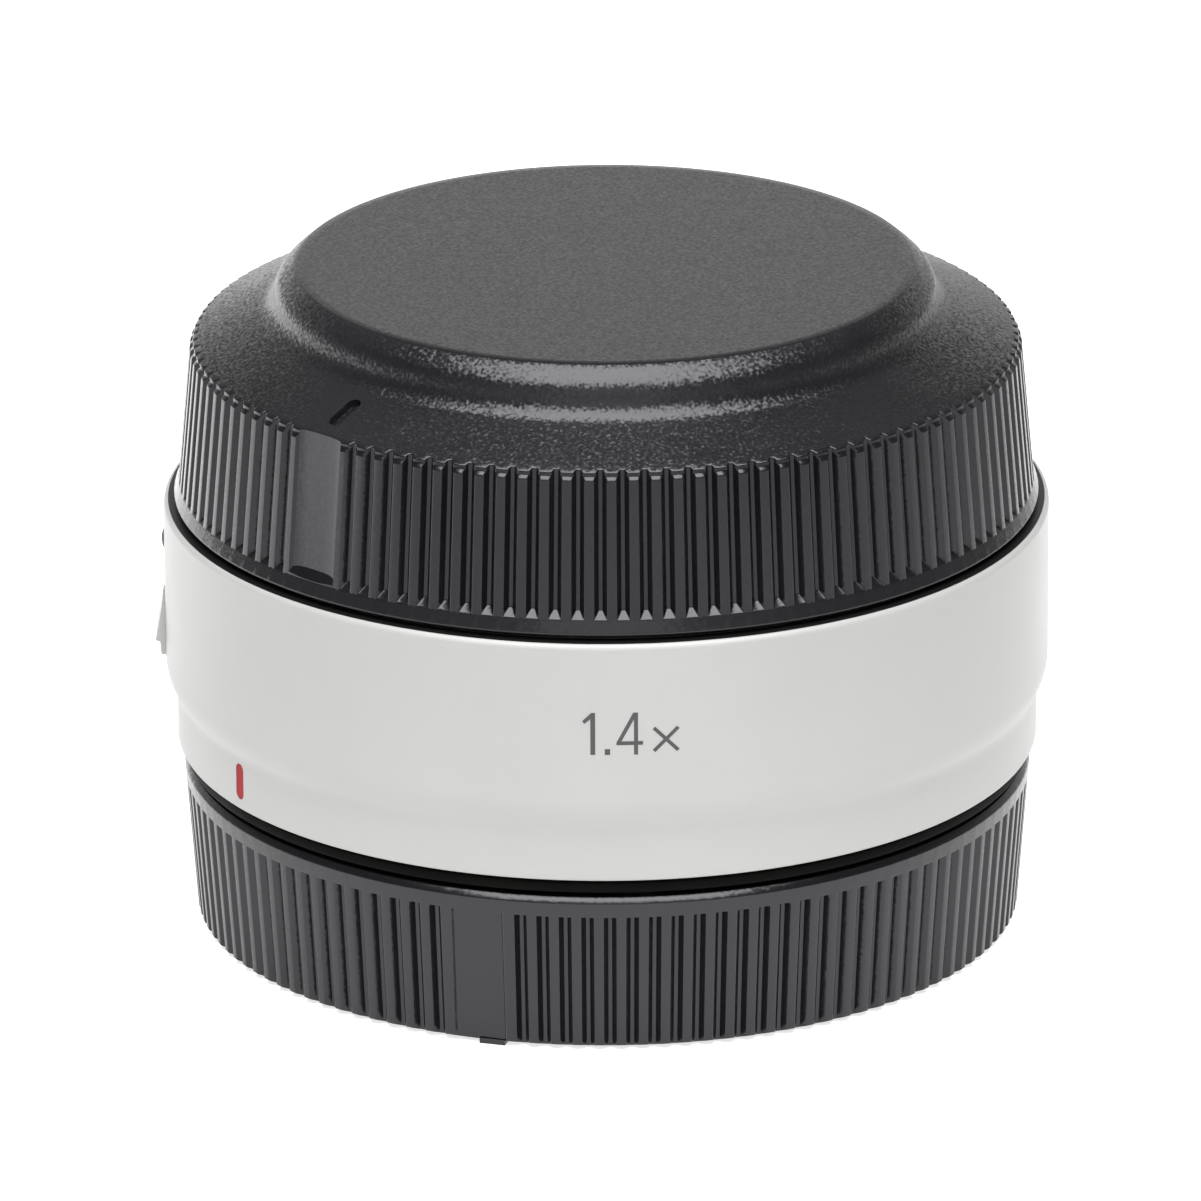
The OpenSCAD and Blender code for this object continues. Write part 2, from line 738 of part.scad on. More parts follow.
// Rear bayonet: flange, tube and three male lugs, turned from one steel ring
module rear_mount_ring() {
  tube_z = rear_flange_z - rear_tube_depth;
  lug_z1 = rear_flange_z - rear_lug_depth;
  lock_hole_r = 1.4;
  lock_hole_d = 1.2;
  lock_hole_az = index_az + 62;
  edge = 0.3;
  color(steel)
    difference() {
      union() {
        rotate_extrude()
          polygon([
            [male_in_r, tube_z], [male_r - edge, tube_z], [male_r, tube_z + edge],
            [male_r, rear_flange_z], [mount_r + 0.2 - edge, rear_flange_z],
            [mount_r + 0.2, rear_flange_z + edge], [mount_r + 0.2, chassis_z0], [male_in_r, chassis_z0]
          ]);
        lugs(male_r - eps, male_lug_r, lug_z1 - lug_t, lug_z1, rear_lug_az, male_lug_half);
      }
      at_each(screw_az, rear_screw_r, rear_flange_z)
        mirror([0, 0, 1])
          flat_screw_hole(screw_head_r, screw_head_h, screw_shank_r, flange_t + eps);
      rotate([0, 0, lock_hole_az])
        translate([rear_screw_r, 0, rear_flange_z - eps])
          rod(lock_hole_r, 0, lock_hole_d + eps);
    }
}

module rear_mount_screws() {
  color(steel)
    at_each(screw_az, rear_screw_r, rear_flange_z)
      mirror([0, 0, 1])
        flat_screw(screw_head_r, screw_head_h, screw_shank_r, screw_l);
}

// Black cup inside the rear bayonet, with the window that frames the light
module rear_baffle() {
  flange_z = chassis_z0;
  color(black_plastic)
    difference() {
      rotate_extrude()
        polygon([
          [0, baffle_z], [baffle_r - 0.4, baffle_z], [baffle_r, baffle_z + 0.4], [baffle_r, flange_z],
          [baffle_flange_r, flange_z], [baffle_flange_r, flange_z + baffle_flange_t],
          [baffle_r - baffle_wall, flange_z + baffle_flange_t],
          [baffle_r - baffle_wall, baffle_z + baffle_t], [0, baffle_z + baffle_t]
        ]);
      rotate([0, 0, contact_az]) {
        translate([0, 0, baffle_z - eps])
          linear_extrude(baffle_t + 2 * eps) {
            square([window_x - 2 * window_round, window_y], center = true);
            square([window_x, window_y - 2 * window_round], center = true);
            for (x = [-1, 1], y = [-1, 1])
              translate([x * (window_x / 2 - window_round), y * (window_y / 2 - window_round)])
                circle(r = window_round);
          }
        ring_sector(rear_land_r0 - 0.1, rear_land_r1 + 0.1, baffle_z - eps, baffle_z + baffle_t + eps,
          -rear_land_half - 0.4, rear_land_half + 0.4);
        at_each([-rear_screw_half, rear_screw_half], pad_r, baffle_z + baffle_t)
          rod(small_shank_r + seat, -rear_grip - hole_over, eps);
      }
    }
}

module rear_contact_block() {
  color(black_plastic)
    difference() {
      rotate([0, 0, contact_az]) {
        ring_sector(rear_block_r0, rear_block_r1, baffle_z + baffle_t, baffle_z + baffle_t + rear_block_h,
          -rear_block_half, rear_block_half);
        ring_sector(rear_land_r0, rear_land_r1, rear_land_z, baffle_z + baffle_t + eps,
          -rear_land_half, rear_land_half);
      }
      at_contacts(pad_r, rear_land_z + pad_sunk / 2)
        cube([pad_l, pad_w, pad_sunk + 2 * seat], center = true);
      rotate([0, 0, contact_az])
        at_each([-rear_screw_half, rear_screw_half], pad_r, baffle_z + baffle_t)
          rod(small_shank_r + seat, -eps, rear_block_h + eps);
    }
}

module rear_contact_pads() {
  color(gold)
    at_contacts(pad_r, rear_land_z + (pad_sunk - pad_proud) / 2)
      cube([pad_l - 2 * seat, pad_w - 2 * seat, pad_sunk + pad_proud], center = true);
}

module rear_contact_screws() {
  color(steel)
    rotate([0, 0, contact_az])
      at_each([-rear_screw_half, rear_screw_half], pad_r, baffle_z + baffle_t + rear_block_h)
        pan_screw(small_head_r, small_head_h, small_shank_r, rear_block_h + rear_grip);
}

// Ribbon from the rear contacts up to the board's end
module rear_flex() {
  block_top = baffle_z + baffle_t + rear_block_h;
  r = board_r0 + 0.4;
  strip_w = 2.2;
  strip_a0 = 14;
  strip_a1 = 24;
  color(flex_amber)
    rotate([0, 0, contact_az]) {
      ring_sector(r, r + flex_t, block_top, well_under_z - flex_t, strip_a0, strip_a1);
      ring_sector(r, r + strip_w, well_under_z - flex_t, well_under_z, strip_a0, board_a0);
    }
}

// Front bayonet: flat steel ring with three lugs that reach into the throat
module front_mount_ring() {
  edge = 0.2;
  lug_z1 = front_flange_z - 0.2;
  color(steel)
    difference() {
      union() {
        rotate_extrude()
          polygon([
            [throat_r, front_seat_z], [mount_r, front_seat_z], [mount_r, front_flange_z - edge],
            [mount_r - edge, front_flange_z], [throat_r + edge, front_flange_z],
            [throat_r, front_flange_z - edge]
          ]);
        lugs(female_r, throat_r + eps, lug_z1 - lug_t, lug_z1 - 0.01, front_lug_az, female_lug_half);
      }
      at_each(screw_az, front_screw_r, front_flange_z)
        flat_screw_hole(screw_head_r, screw_head_h, screw_shank_r, flange_t + eps);
      at_lever()
        translate([lock_pin_x, -rocker_arm, 0])
          rod(lock_pin_r + slip, front_seat_z - eps, front_flange_z + eps);
    }
}

module front_mount_screws() {
  color(steel)
    at_each(screw_az, front_screw_r, front_flange_z)
      flat_screw(screw_head_r, screw_head_h, screw_shank_r, screw_l);
}

// Leaf springs under the front lugs, which draw a lens against the flange
module front_mount_springs() {
  leaf_t = 0.3;
  leaf_half = female_lug_half - 6;
  color(steel)
    lugs(female_r + 0.4, well_r - 0.2, front_seat_z - leaf_t, front_seat_z, front_lug_az, leaf_half);
}

module front_contact_block() {
  color(black_plastic)
    difference() {
      rotate([0, 0, contact_az])
        ring_sector(front_block_r0, front_block_r1, well_z, well_z + front_block_h,
          -front_block_half, front_block_half);
      at_contacts(front_pin_r, well_z) {
        rod(front_pin_shank + slip, 0, front_block_h + eps);
        rod(counterbore_r, -eps, counterbore_h);
      }
      rotate([0, 0, contact_az])
        at_each([-contact_screw_half, contact_screw_half], front_pin_r, well_z)
          rod(small_shank_r + seat, -eps, front_block_h + eps);
    }
}

// Spring pins with a collar that keeps each in its bore and a round nose
module front_contact_pins() {
  color(gold)
    at_contacts(front_pin_r, 0) {
      rod(front_pin_collar, collar_z, collar_z + collar_t);
      rod(front_pin_shank, collar_z, front_pin_top - front_pin_shank);
      translate([0, 0, front_pin_top - front_pin_shank])
        sphere(r = front_pin_shank);
    }
}

// Sleeve-shaped envelope of the small coil spring under each pin
module front_contact_springs() {
  spring_wall = 0.25;
  color(steel)
    at_contacts(front_pin_r, 0)
      tube(front_pin_collar - 0.08 - spring_wall, front_pin_collar - 0.08, well_z, collar_z);
}

module front_contact_screws() {
  color(steel)
    rotate([0, 0, contact_az])
      at_each([-contact_screw_half, contact_screw_half], front_pin_r, well_z + front_block_h)
        pan_screw(small_head_r, small_head_h, small_shank_r, front_block_h + small_grip);
}

// Ribbon from the front contacts through the well's floor to the board's end
module front_flex() {
  strip_w = 1.6;
  color(flex_amber)
    rotate([0, 0, contact_az]) {
      ring_sector(front_pin_r - flex_t / 2, front_pin_r + flex_t / 2, well_under_z - flex_t, well_z,
        -flex_half, flex_half);
      ring_sector(front_pin_r - flex_t / 2, front_pin_r + strip_w, well_under_z - flex_t, well_under_z,
        -flex_half, board_a0);
    }
}

module main_board() {
  color(board_green)
    rotate([0, 0, contact_az])
      difference() {
        ring_sector(board_r0, board_r1, board_z, well_under_z, board_a0, board_a1);
        at_each(board_screw_az, board_screw_r, board_z)
          rod(small_shank_r + seat, -eps, board_t + eps);
      }
}

module board_chips() {
  chip_r = (board_r0 + board_r1) / 2 - 0.4;
  color(black_plastic)
    rotate([0, 0, contact_az])
      for (c = chips)
        rotate([0, 0, c[0]])
          translate([chip_r, 0, board_z - chip_t / 2])
            cube([c[2], c[1], chip_t], center = true);
}

module board_screws() {
  color(steel)
    rotate([0, 0, contact_az])
      at_each(board_screw_az, board_screw_r, board_z)
        mirror([0, 0, 1])
          pan_screw(small_head_r, small_head_h, small_shank_r, board_t + small_grip);
}

// Black tube that holds the lens elements and stands out into the mounted lens
module lens_tube() {
  bottom_edge = 0.3;
  mouth = 0.5;
  color(black_metal)
    difference() {
      rotate_extrude()
        polygon([
          [rear_glass_r + thread_step, tube_bottom_z], [tube_rear_r - bottom_edge, tube_bottom_z],
          [tube_rear_r, tube_bottom_z + bottom_edge], [tube_rear_r, well_under_z],
          [spigot_r, well_under_z], [spigot_r, well_z], [tube_flange_r, well_z],
          [tube_flange_r, well_z + tube_flange_t], [tube_front_r, well_z + tube_flange_t],
          [tube_front_r, tube_top_z - mouth], [tube_front_r - mouth, tube_top_z],
          [front_glass_r + thread_step, tube_top_z], [front_glass_r + thread_step, front_ring_z],
          [front_glass_r, front_ring_z], [front_glass_r, web_z0 + web_t], [web_r, web_z0 + web_t],
          [web_r, web_z0], [rear_glass_r, web_z0], [rear_glass_r, lens_7_z],
          [rear_glass_r + thread_step, lens_7_z]
        ]);
      rotate([0, 0, contact_az])
        at_each(tube_screw_az, tube_screw_r, well_z)
          rod(small_shank_r + seat, -eps, tube_flange_t + eps);
    }
}

module lens_tube_screws() {
  color(steel)
    rotate([0, 0, contact_az])
      at_each(tube_screw_az, tube_screw_r, well_z + tube_flange_t)
        pan_screw(small_head_r, small_head_h, small_shank_r, tube_flange_t + small_grip);
}

// A lens element with flat rims at z0 and z1. A positive surface radius bulges out of the
// element, a negative one is hollow, and 0 is flat.
module element(r, z0, z1, faces) {
  face_r = r - glass_rim;
  lower = faces[0];
  upper = faces[1];
  color(glass)
    difference() {
      union() {
        rod(r, z0, z1);
        if (upper > 0)
          dome(face_r, z1, upper);
        if (lower > 0)
          translate([0, 0, z0])
            mirror([0, 0, 1])
              dome(face_r, 0, lower);
      }
      if (upper < 0)
        translate([0, 0, z1 + sqrt(upper * upper - face_r * face_r)])
          sphere(r = -upper);
      if (lower < 0)
        translate([0, 0, z0 - sqrt(lower * lower - face_r * face_r)])
          sphere(r = -lower);
    }
}

// The cap of a sphere that stands on a flat at z
module dome(face_r, z, radius) {
  drop = sqrt(radius * radius - face_r * face_r);
  intersection() {
    translate([0, 0, z - drop])
      sphere(r = radius);
    rod(face_r, z - 0.2, z + radius - drop + eps);
  }
}

module front_retaining_ring() {
  color(black_metal)
    tube(front_glass_r - ring_wall, front_glass_r + thread_step - seat,
      front_ring_z, front_ring_z + front_ring_h);
}

module lens_1() {
  element(front_glass_r - seat, lens_1_z, lens_1_z + lens_1_h, lens_1_faces);
}

module front_spacer() {
  color(black_metal)
    tube(front_glass_r - ring_wall, front_glass_r - seat, front_spacer_z, lens_1_z);
}

module lens_2() {
  element(front_glass_r - seat, lens_2_z + cement, front_spacer_z, lens_2_faces);
}

module lens_3() {
  element(front_glass_r - seat, lens_3_z, lens_2_z, lens_3_faces);
}

module lens_4() {
  element(rear_glass_r - seat, lens_4_z + cement, web_z0, lens_4_faces);
}

module lens_5() {
  element(rear_glass_r - seat, lens_5_z, lens_4_z, lens_5_faces);
}

module rear_spacer() {
  color(black_metal)
    tube(rear_glass_r - ring_wall, rear_glass_r - seat, rear_spacer_z, lens_5_z);
}

module lens_6() {
  element(rear_glass_r - seat, lens_6_z + cement, rear_spacer_z, lens_6_faces);
}

module lens_7() {
  element(rear_glass_r - seat, lens_7_z, lens_6_z, lens_7_faces);
}

module rear_retaining_ring() {
  color(black_metal)
    tube(rear_glass_r - ring_wall, rear_glass_r + thread_step - seat, rear_ring_z, lens_7_z);
}

// A forked block that takes the round end of a rocker arm. It is open towards the pivot.
module fork(x0, x1, y, z, side) {
  slot_h = 2 * (arm_end_r + fork_gap);
  difference() {
    translate([x0, y - fork_half_w, z - fork_h / 2])
      cube([x1 - x0, 2 * fork_half_w, fork_h]);
    translate([rocker_x - 0.1, side > 0 ? y - fork_half_w - eps : y - 0.85, z - slot_h / 2])
      cube([rocker_t + 0.2 + eps, fork_half_w + 0.85 + eps, slot_h]);
  }
}

// Release lever: thumb knob outside, slide inside the barrel and a forked tongue to the rocker
module release_lever() {
  knob_out = barrel_r + knob_proud;
  crest_z = knob_z0 + 1.1;
  color(white_paint)
    at_lever() {
      translate([slide_x, slide_y0, slide_z0])
        cube([slide_t, slide_y1 - slide_y0, slide_z1 - slide_z0]);
      translate([0, knob_w / 2, 0])
        rotate([90, 0, 0])
          linear_extrude(knob_w)
            polygon([
              [slide_x, knob_z0], [barrel_r + 0.3, knob_z0], [barrel_r + 0.4, crest_z],
              [knob_out, crest_z + 0.1], [barrel_r + 0.2, knob_z0 + knob_h], [slide_x, knob_z0 + knob_h]
            ]);
      fork(rocker_x - 0.1, slide_x + slide_t, rocker_arm, tongue_z, 1);
    }
}

// Plate that closes the lock's pocket, guides the lever and carries the rocker's pivot
module lever_guide_plate() {
  window_half = fork_h / 2 + lever_travel / 2 + 0.25;
  color(black_metal)
    at_lever()
      difference() {
        union() {
          translate([plate_x, -plate_hw, plate_z0])
            cube([plate_t, 2 * plate_hw, plate_z1 - plate_z0]);
          translate([plate_x, tab_y0, tab_z0])
            cube([plate_t, tab_y1 - tab_y0, plate_z0 - tab_z0 + eps]);
        }
        translate([plate_x - eps, rocker_arm - fork_half_w - fit, pivot_z - window_half])
          cube([plate_t + 2 * eps, 2 * (fork_half_w + fit), 2 * window_half]);
        translate([plate_x - eps, 0, pivot_z])
          rotate([0, 90, 0])
            cylinder(r = pivot_r, h = plate_t + 2 * eps);
        for (s = plate_screws)
          translate([plate_x + plate_t, s[0], s[1]])
            rotate([0, 90, 0])
              flat_screw_hole(small_head_r, small_head_h, small_shank_r, plate_t + eps);
      }
}

module guide_plate_screws() {
  color(steel)
    at_lever()
      for (s = plate_screws)
        translate([plate_x + plate_t, s[0], s[1]])
          rotate([0, 90, 0])
            flat_screw(small_head_r, small_head_h, small_shank_r, plate_screw_l);
}

// Rocker that turns the lever's rise into the lock pin's fall
module release_rocker() {
  hub_r = 1.5;
  color(steel)
    at_lever()
      translate([rocker_x, 0, pivot_z])
        rotate([90, 0, 90])
          linear_extrude(rocker_t)
            difference() {
              rotate([0, 0, -rocker_tilt]) {
                circle(r = hub_r);
                square([2 * rocker_arm, arm_w], center = true);
                for (s = [-1, 1])
                  translate([s * rocker_arm, 0])
                    circle(r = arm_end_r);
              }
              circle(r = pivot_r + slip);
            }
}

module rocker_pivot() {
  head_x = rocker_x - slip - pivot_head_t;
  color(steel)
    at_lever()
      translate([head_x, 0, pivot_z])
        rotate([0, 90, 0]) {
          cylinder(r = pivot_head_r, h = pivot_head_t);
          cylinder(r = pivot_r, h = plate_x + plate_t - head_x);
        }
}

// Pin that locks a mounted lens, with the forked foot by which the rocker draws it in
module lock_pin() {
  tip = 0.3;
  pin_top = front_flange_z + lock_pin_proud;
  color(steel)
    at_lever() {
      translate([lock_pin_x, -rocker_arm, 0]) {
        rod(lock_pin_r, foot_z - fork_h / 2, pin_top - tip);
        translate([0, 0, pin_top - tip])
          cylinder(r1 = lock_pin_r, r2 = lock_pin_r - tip, h = tip);
      }
      fork(lock_pin_x, rocker_x + rocker_t + 0.05, -rocker_arm, foot_z, -1);
    }
}

// Coil spring that pushes the lock pin out, swept along a helix
module lock_pin_spring() {
  sides = 6;
  steps = 8;
  z0 = spring_z0 + spring_wire_r + seat;
  z1 = foot_z - fork_h / 2 - spring_wire_r - seat;
  n = spring_turns * steps;
  rings = [
    for (i = [0:n])
      let (a = 360 * i / steps, z = z0 + (z1 - z0) * i / n)
        [
          for (k = [0:sides - 1])
            let (b = 360 * k / sides, r = spring_r + spring_wire_r * cos(b))
              [r * cos(a), r * sin(a), z + spring_wire_r * sin(b)]
        ]
  ];
  points = [for (ring = rings) each ring];
  walls = [
    for (i = [0:n - 1], k = [0:sides - 1])
      let (p = i * sides + k, q = i * sides + (k + 1) % sides)
        each [[p, q, p + sides], [q, q + sides, p + sides]]
  ];
  ends = [
    for (k = [1:sides - 2])
      each [[0, k + 1, k], [n * sides, n * sides + k, n * sides + k + 1]]
  ];
  color(steel)
    at_lever()
      translate([lock_pin_x, -rocker_arm, 0])
        polyhedron(points = points, faces = concat(walls, ends));
}

// Front cap: ribbed skirt, sloping shoulder and the dome that clears the lens tube, with a
// bayonet tube inside
module front_cap() {
  edge = [shoulder_r, shoulder_z];
  under = front_roof / cos(shoulder_slope);
  shoulder_at = function(r) shoulder_z + (shoulder_r - r) * tan(shoulder_slope);
  skirt_in_r = shoulder_r - front_wall;
  foot_edge = 0.25;
  top_r = dome_r - dome_bevel_w;
  outer = concat(
    [
      [front_foot_r - foot_edge, front_foot_z], [front_foot_r, front_foot_z + foot_edge],
      [front_rib_r0, front_rib_z0], [front_rib_r1, front_rib_z1],
      [shoulder_r, front_rib_z1 + rib_proud], edge
    ],
    arc([cove_x, cove_z], cove_r, 270 - shoulder_slope, 180, 10),
    [[dome_r, top_z - dome_bevel_h], [top_r, top_z], [0, top_z]]
  );
  inner = [
    [0, ceiling_z], [cap_in_r - ceiling_chamfer, ceiling_z], [cap_in_r, ceiling_z - ceiling_chamfer],
    [cap_in_r, cap_tube_z], [male_r, cap_tube_z], [male_r, front_flange_z + seat],
    [cap_stop_r, front_flange_z + seat], [cap_stop_r, front_flange_z + cap_stop_t],
    [dome_wall_r, front_flange_z + cap_stop_t], [dome_wall_r, shoulder_at(dome_wall_r) - under],
    [skirt_in_r, shoulder_at(skirt_in_r) - under], [front_foot_r - front_wall, front_foot_z]
  ];
  color(black_plastic)
    difference() {
      union() {
        rotate_extrude()
          polygon(concat(outer, inner));
        lugs(male_r - eps, male_lug_r, cap_lug_z, cap_lug_z + lug_t, front_lug_az + 60, male_lug_half);
      }
      grooves_beside_pad(front_pad_az)
        groove(front_rib_r0, front_rib_z0, front_rib_r0 - front_draft * 1.3, front_rib_z0 + front_rib_h * 1.3,
          groove_runout, 0);
      front_pad_cut();
      front_dash_cut();
    }
}

// Hollow thumb flat down the front cap's skirt, with a deeper pocket at its foot
module front_pad_cut() {
  lean = atan(front_draft / front_rib_h);
  pad_round = (front_pad_w * front_pad_w / 4 + front_pad_d * front_pad_d) / (2 * front_pad_d);
  pad_z = 0.1;
  pocket_top = 3.2;
  pocket_foot = 4.4;
  pocket_h = 1.1;
  pocket_d = 0.3;
  pocket_reach = 2;
  pocket = [
    [-pocket_foot / 2, 0], [pocket_foot / 2, 0], [pocket_top / 2, pocket_h], [-pocket_top / 2, pocket_h]
  ];
  rotate([0, 0, front_pad_az])
    translate([front_rib_r0, 0, front_rib_z0])
      rotate([0, -lean, 0]) {
        translate([pad_round - front_pad_d, 0, pad_z])
          cylinder(r = pad_round, h = front_rib_h + 3);
        translate([-front_pad_d - pocket_d, 0, pad_z])
          rotate([90, 0, 90])
            linear_extrude(pocket_reach)
              polygon(pocket);
      }
}

// Short round-ended index dash sunk in the front cap's shoulder above the thumb flat
module front_dash_cut() {
  dash_l = 3.3;
  dash_w = 1.25;
  dash_d = 0.3;
  dash_in = 1.5;
  rotate([0, 0, front_pad_az])
    translate([shoulder_r, 0, shoulder_z])
      rotate([0, shoulder_slope, 0])
        hull()
          for (x = [-dash_in - dash_w / 2, -dash_in - dash_l + dash_w / 2])
            translate([x, 0, -dash_d])
              cylinder(d = dash_w, h = dash_d + eps);
}

rear_cap();
rear_seal_ring();
barrel_shell();
index_mark();
lens_index_dot();
chassis();
rear_mount_ring();
rear_mount_screws();
rear_baffle();
rear_contact_block();
rear_contact_pads();
rear_contact_screws();
rear_flex();
front_mount_ring();
front_mount_screws();
front_mount_springs();
front_contact_block();
front_contact_pins();
front_contact_springs();
front_contact_screws();
front_flex();
main_board();
board_chips();
board_screws();
lens_tube();
lens_tube_screws();
front_retaining_ring();
lens_1();
front_spacer();
lens_2();
lens_3();
lens_4();
lens_5();
rear_spacer();
lens_6();
lens_7();
rear_retaining_ring();
release_lever();
lever_guide_plate();
guide_plate_screws();
release_rocker();
rocker_pivot();
lock_pin();
lock_pin_spring();
front_cap();
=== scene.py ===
import json
import math
import bmesh
import bpy
from mathutils import Matrix, Vector

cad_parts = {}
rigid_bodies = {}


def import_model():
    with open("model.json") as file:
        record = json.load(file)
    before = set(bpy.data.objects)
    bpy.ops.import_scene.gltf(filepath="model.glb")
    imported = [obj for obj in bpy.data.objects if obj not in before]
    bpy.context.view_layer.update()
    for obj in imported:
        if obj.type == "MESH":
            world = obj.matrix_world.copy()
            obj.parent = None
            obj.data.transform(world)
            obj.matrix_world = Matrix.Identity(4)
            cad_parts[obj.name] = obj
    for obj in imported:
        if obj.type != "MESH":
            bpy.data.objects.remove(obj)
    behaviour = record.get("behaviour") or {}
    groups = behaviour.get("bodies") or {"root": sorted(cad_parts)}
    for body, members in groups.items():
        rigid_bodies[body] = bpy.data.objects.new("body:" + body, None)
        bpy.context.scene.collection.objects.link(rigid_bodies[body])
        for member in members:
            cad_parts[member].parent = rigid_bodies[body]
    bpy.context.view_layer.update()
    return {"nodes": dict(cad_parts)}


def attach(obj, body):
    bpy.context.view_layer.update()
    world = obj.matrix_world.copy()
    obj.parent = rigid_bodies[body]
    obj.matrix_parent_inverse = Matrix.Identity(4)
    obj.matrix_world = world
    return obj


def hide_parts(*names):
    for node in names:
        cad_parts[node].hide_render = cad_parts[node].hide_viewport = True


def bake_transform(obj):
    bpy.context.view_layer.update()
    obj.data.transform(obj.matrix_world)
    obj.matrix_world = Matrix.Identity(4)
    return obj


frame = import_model()

# Rear cap: the black cup on which the converter stands, moulded in one piece from
# glass-filled plastic. Its skirt has 120 grip ribs with a plain thumb flat, and an inner ring
# with three lugs takes hold of the rear bayonet.
mm = 0.001
rib_pitch = math.radians(3)
rear_pad_az = math.radians(252.3)
smooth_angle = math.radians(35)


def only(piece):
    bpy.ops.object.select_all(action="DESELECT")
    piece.select_set(True)
    bpy.context.view_layer.objects.active = piece


def draw_rings(points):
    """Draws the selected ring of edges out from point to point of a profile of (radius, height)."""
    for (r0, z0), (r1, z1) in zip(points, points[1:]):
        bpy.ops.mesh.extrude_edges_move(TRANSFORM_OT_translate={"value": (0, 0, (z1 - z0) * mm)})
        bpy.ops.transform.resize(value=(r1 / r0, r1 / r0, 1), center_override=(0, 0, z1 * mm))


def pick_rim(piece, wanted):
    """Selects the open edge of a piece where its points are wanted."""
    bpy.ops.mesh.select_mode(type="VERT")
    bpy.ops.mesh.select_all(action="DESELECT")
    shape = bmesh.from_edit_mesh(piece.data)
    for v in shape.verts:
        if v.is_boundary and wanted(v.co / mm):
            v.select_set(True)
    shape.select_flush(True)
    bmesh.update_edit_mesh(piece.data)


def ribbed_skirt(name, rows, pad_az):
    """The skirt of a cap: one grooved strip spun round the axis, and plain strips at its thumb flat.
    A row is (land radius, land height, groove radius, groove height, half mouth, half floor)."""
    strips = []
    for first, count, grooved in ((2, 117, True), (-1, 3, False)):
        bpy.ops.object.select_all(action="DESELECT")
        bpy.ops.mesh.primitive_grid_add(x_subdivisions=5, y_subdivisions=len(rows) - 1, size=1)
        strip = bpy.context.object
        for i, v in enumerate(strip.data.vertices):
            land_r, land_z, deep_r, deep_z, mouth, floor = rows[i // 6]
            column = i % 6
            side = 1 if column > 2 else -1
            place = min(column, 5 - column)
            r, z = (deep_r, deep_z) if place == 2 and grooved else (land_r, land_z)
            az = pad_az + first * rib_pitch + side * (rib_pitch / 2, mouth / r, floor / r)[place]
            v.co = (r * mm * math.cos(az), r * mm * math.sin(az), z * mm)
        bpy.ops.object.mode_set(mode="EDIT")
        bpy.ops.mesh.select_all(action="SELECT")
        bpy.ops.mesh.spin(
            steps=count - 1, dupli=True, angle=(count - 1) * rib_pitch, center=(0, 0, 0), axis=(0, 0, -1))
        bpy.ops.object.mode_set(mode="OBJECT")
        strips.append(strip)
    only(strips[0])
    strips[1].select_set(True)
    bpy.ops.object.join()
    skirt = bpy.context.object
    skirt.name = skirt.data.name = name
    bpy.ops.object.mode_set(mode="EDIT")
    bpy.ops.mesh.select_all(action="SELECT")
    bpy.ops.mesh.remove_doubles(threshold=0.001 * mm)
    return skirt


def close_mesh(piece):
    """Ends an edit with the normals turned outwards."""
    bpy.ops.mesh.select_all(action="SELECT")
    bpy.ops.mesh.normals_make_consistent(inside=False)
    bpy.ops.object.mode_set(mode="OBJECT")
    only(piece)


def ease(piece, width, angle):
    """Rounds the edges of a piece that are sharper than an angle; the width is in mm."""
    only(piece)
    bpy.ops.object.modifier_add(type="BEVEL")
    step = piece.modifiers[-1]
    step.width = width * mm
    step.segments = 2
    step.angle_limit = math.radians(angle)
    bpy.ops.object.modifier_apply(modifier=step.name)


def polish(piece):
    """Smooth shading over the rounded edges, which leaves the large faces flat."""
    only(piece)
    bpy.ops.object.shade_smooth_by_angle(angle=smooth_angle, keep_sharp_edges=True)
    bpy.ops.object.modifier_add(type="WEIGHTED_NORMAL")
    step = piece.modifiers[-1]
    step.keep_sharp = True
    step.weight = 90
    bpy.ops.object.modifier_apply(modifier=step.name)


def crisp(piece, wanted, least):
    """Keeps sharp the edges that bend more than an angle where the middle of the edge is wanted."""
    shape = bmesh.new()
    shape.from_mesh(piece.data)
    for edge in shape.edges:
        middle = (edge.verts[0].co + edge.verts[1].co) / (2 * mm)
        if wanted(middle) and edge.calc_face_angle(0) > math.radians(least):
            edge.smooth = False
    shape.to_mesh(piece.data)
    shape.free()


def at_pad(point, az):
    """Whether a point is at the thumb flat of a cap."""
    towards = point.x * math.cos(az) + point.y * math.sin(az)
    return towards > math.hypot(point.x, point.y) * math.cos(1.5 * rib_pitch)


def combine(piece, tool, operation):
    """Cuts a tool out of a piece, or welds it on."""
    only(piece)
    bpy.ops.object.modifier_add(type="BOOLEAN")
    step = piece.modifiers[-1]
    step.operation = operation
    step.object = tool
    step.solver = "MANIFOLD"
    bpy.ops.object.modifier_apply(modifier=step.name)
    bpy.data.objects.remove(tool)
    piece.data.materials.clear()


def seat(tool, az, lean=0.0, foot=(0, 0, 0)):
    """Leans a tool about y, sets it down at foot in mm and turns it about the axis."""
    only(tool)
    tool.rotation_euler = (0, lean, 0)
    tool.location = [c * mm for c in foot]
    bpy.ops.object.transform_apply()
    tool.rotation_euler = (0, 0, az)
    bpy.ops.object.transform_apply()
    return tool


def block(low, high):
    """A box between two corners in mm."""
    bpy.ops.object.select_all(action="DESELECT")
    bpy.ops.mesh.primitive_cube_add(size=1)
    box = bpy.context.object
    box.scale = [(h - l) * mm for l, h in zip(low, high)]
    box.location = [(h + l) / 2 * mm for l, h in zip(low, high)]
    bpy.ops.object.transform_apply()
    return box


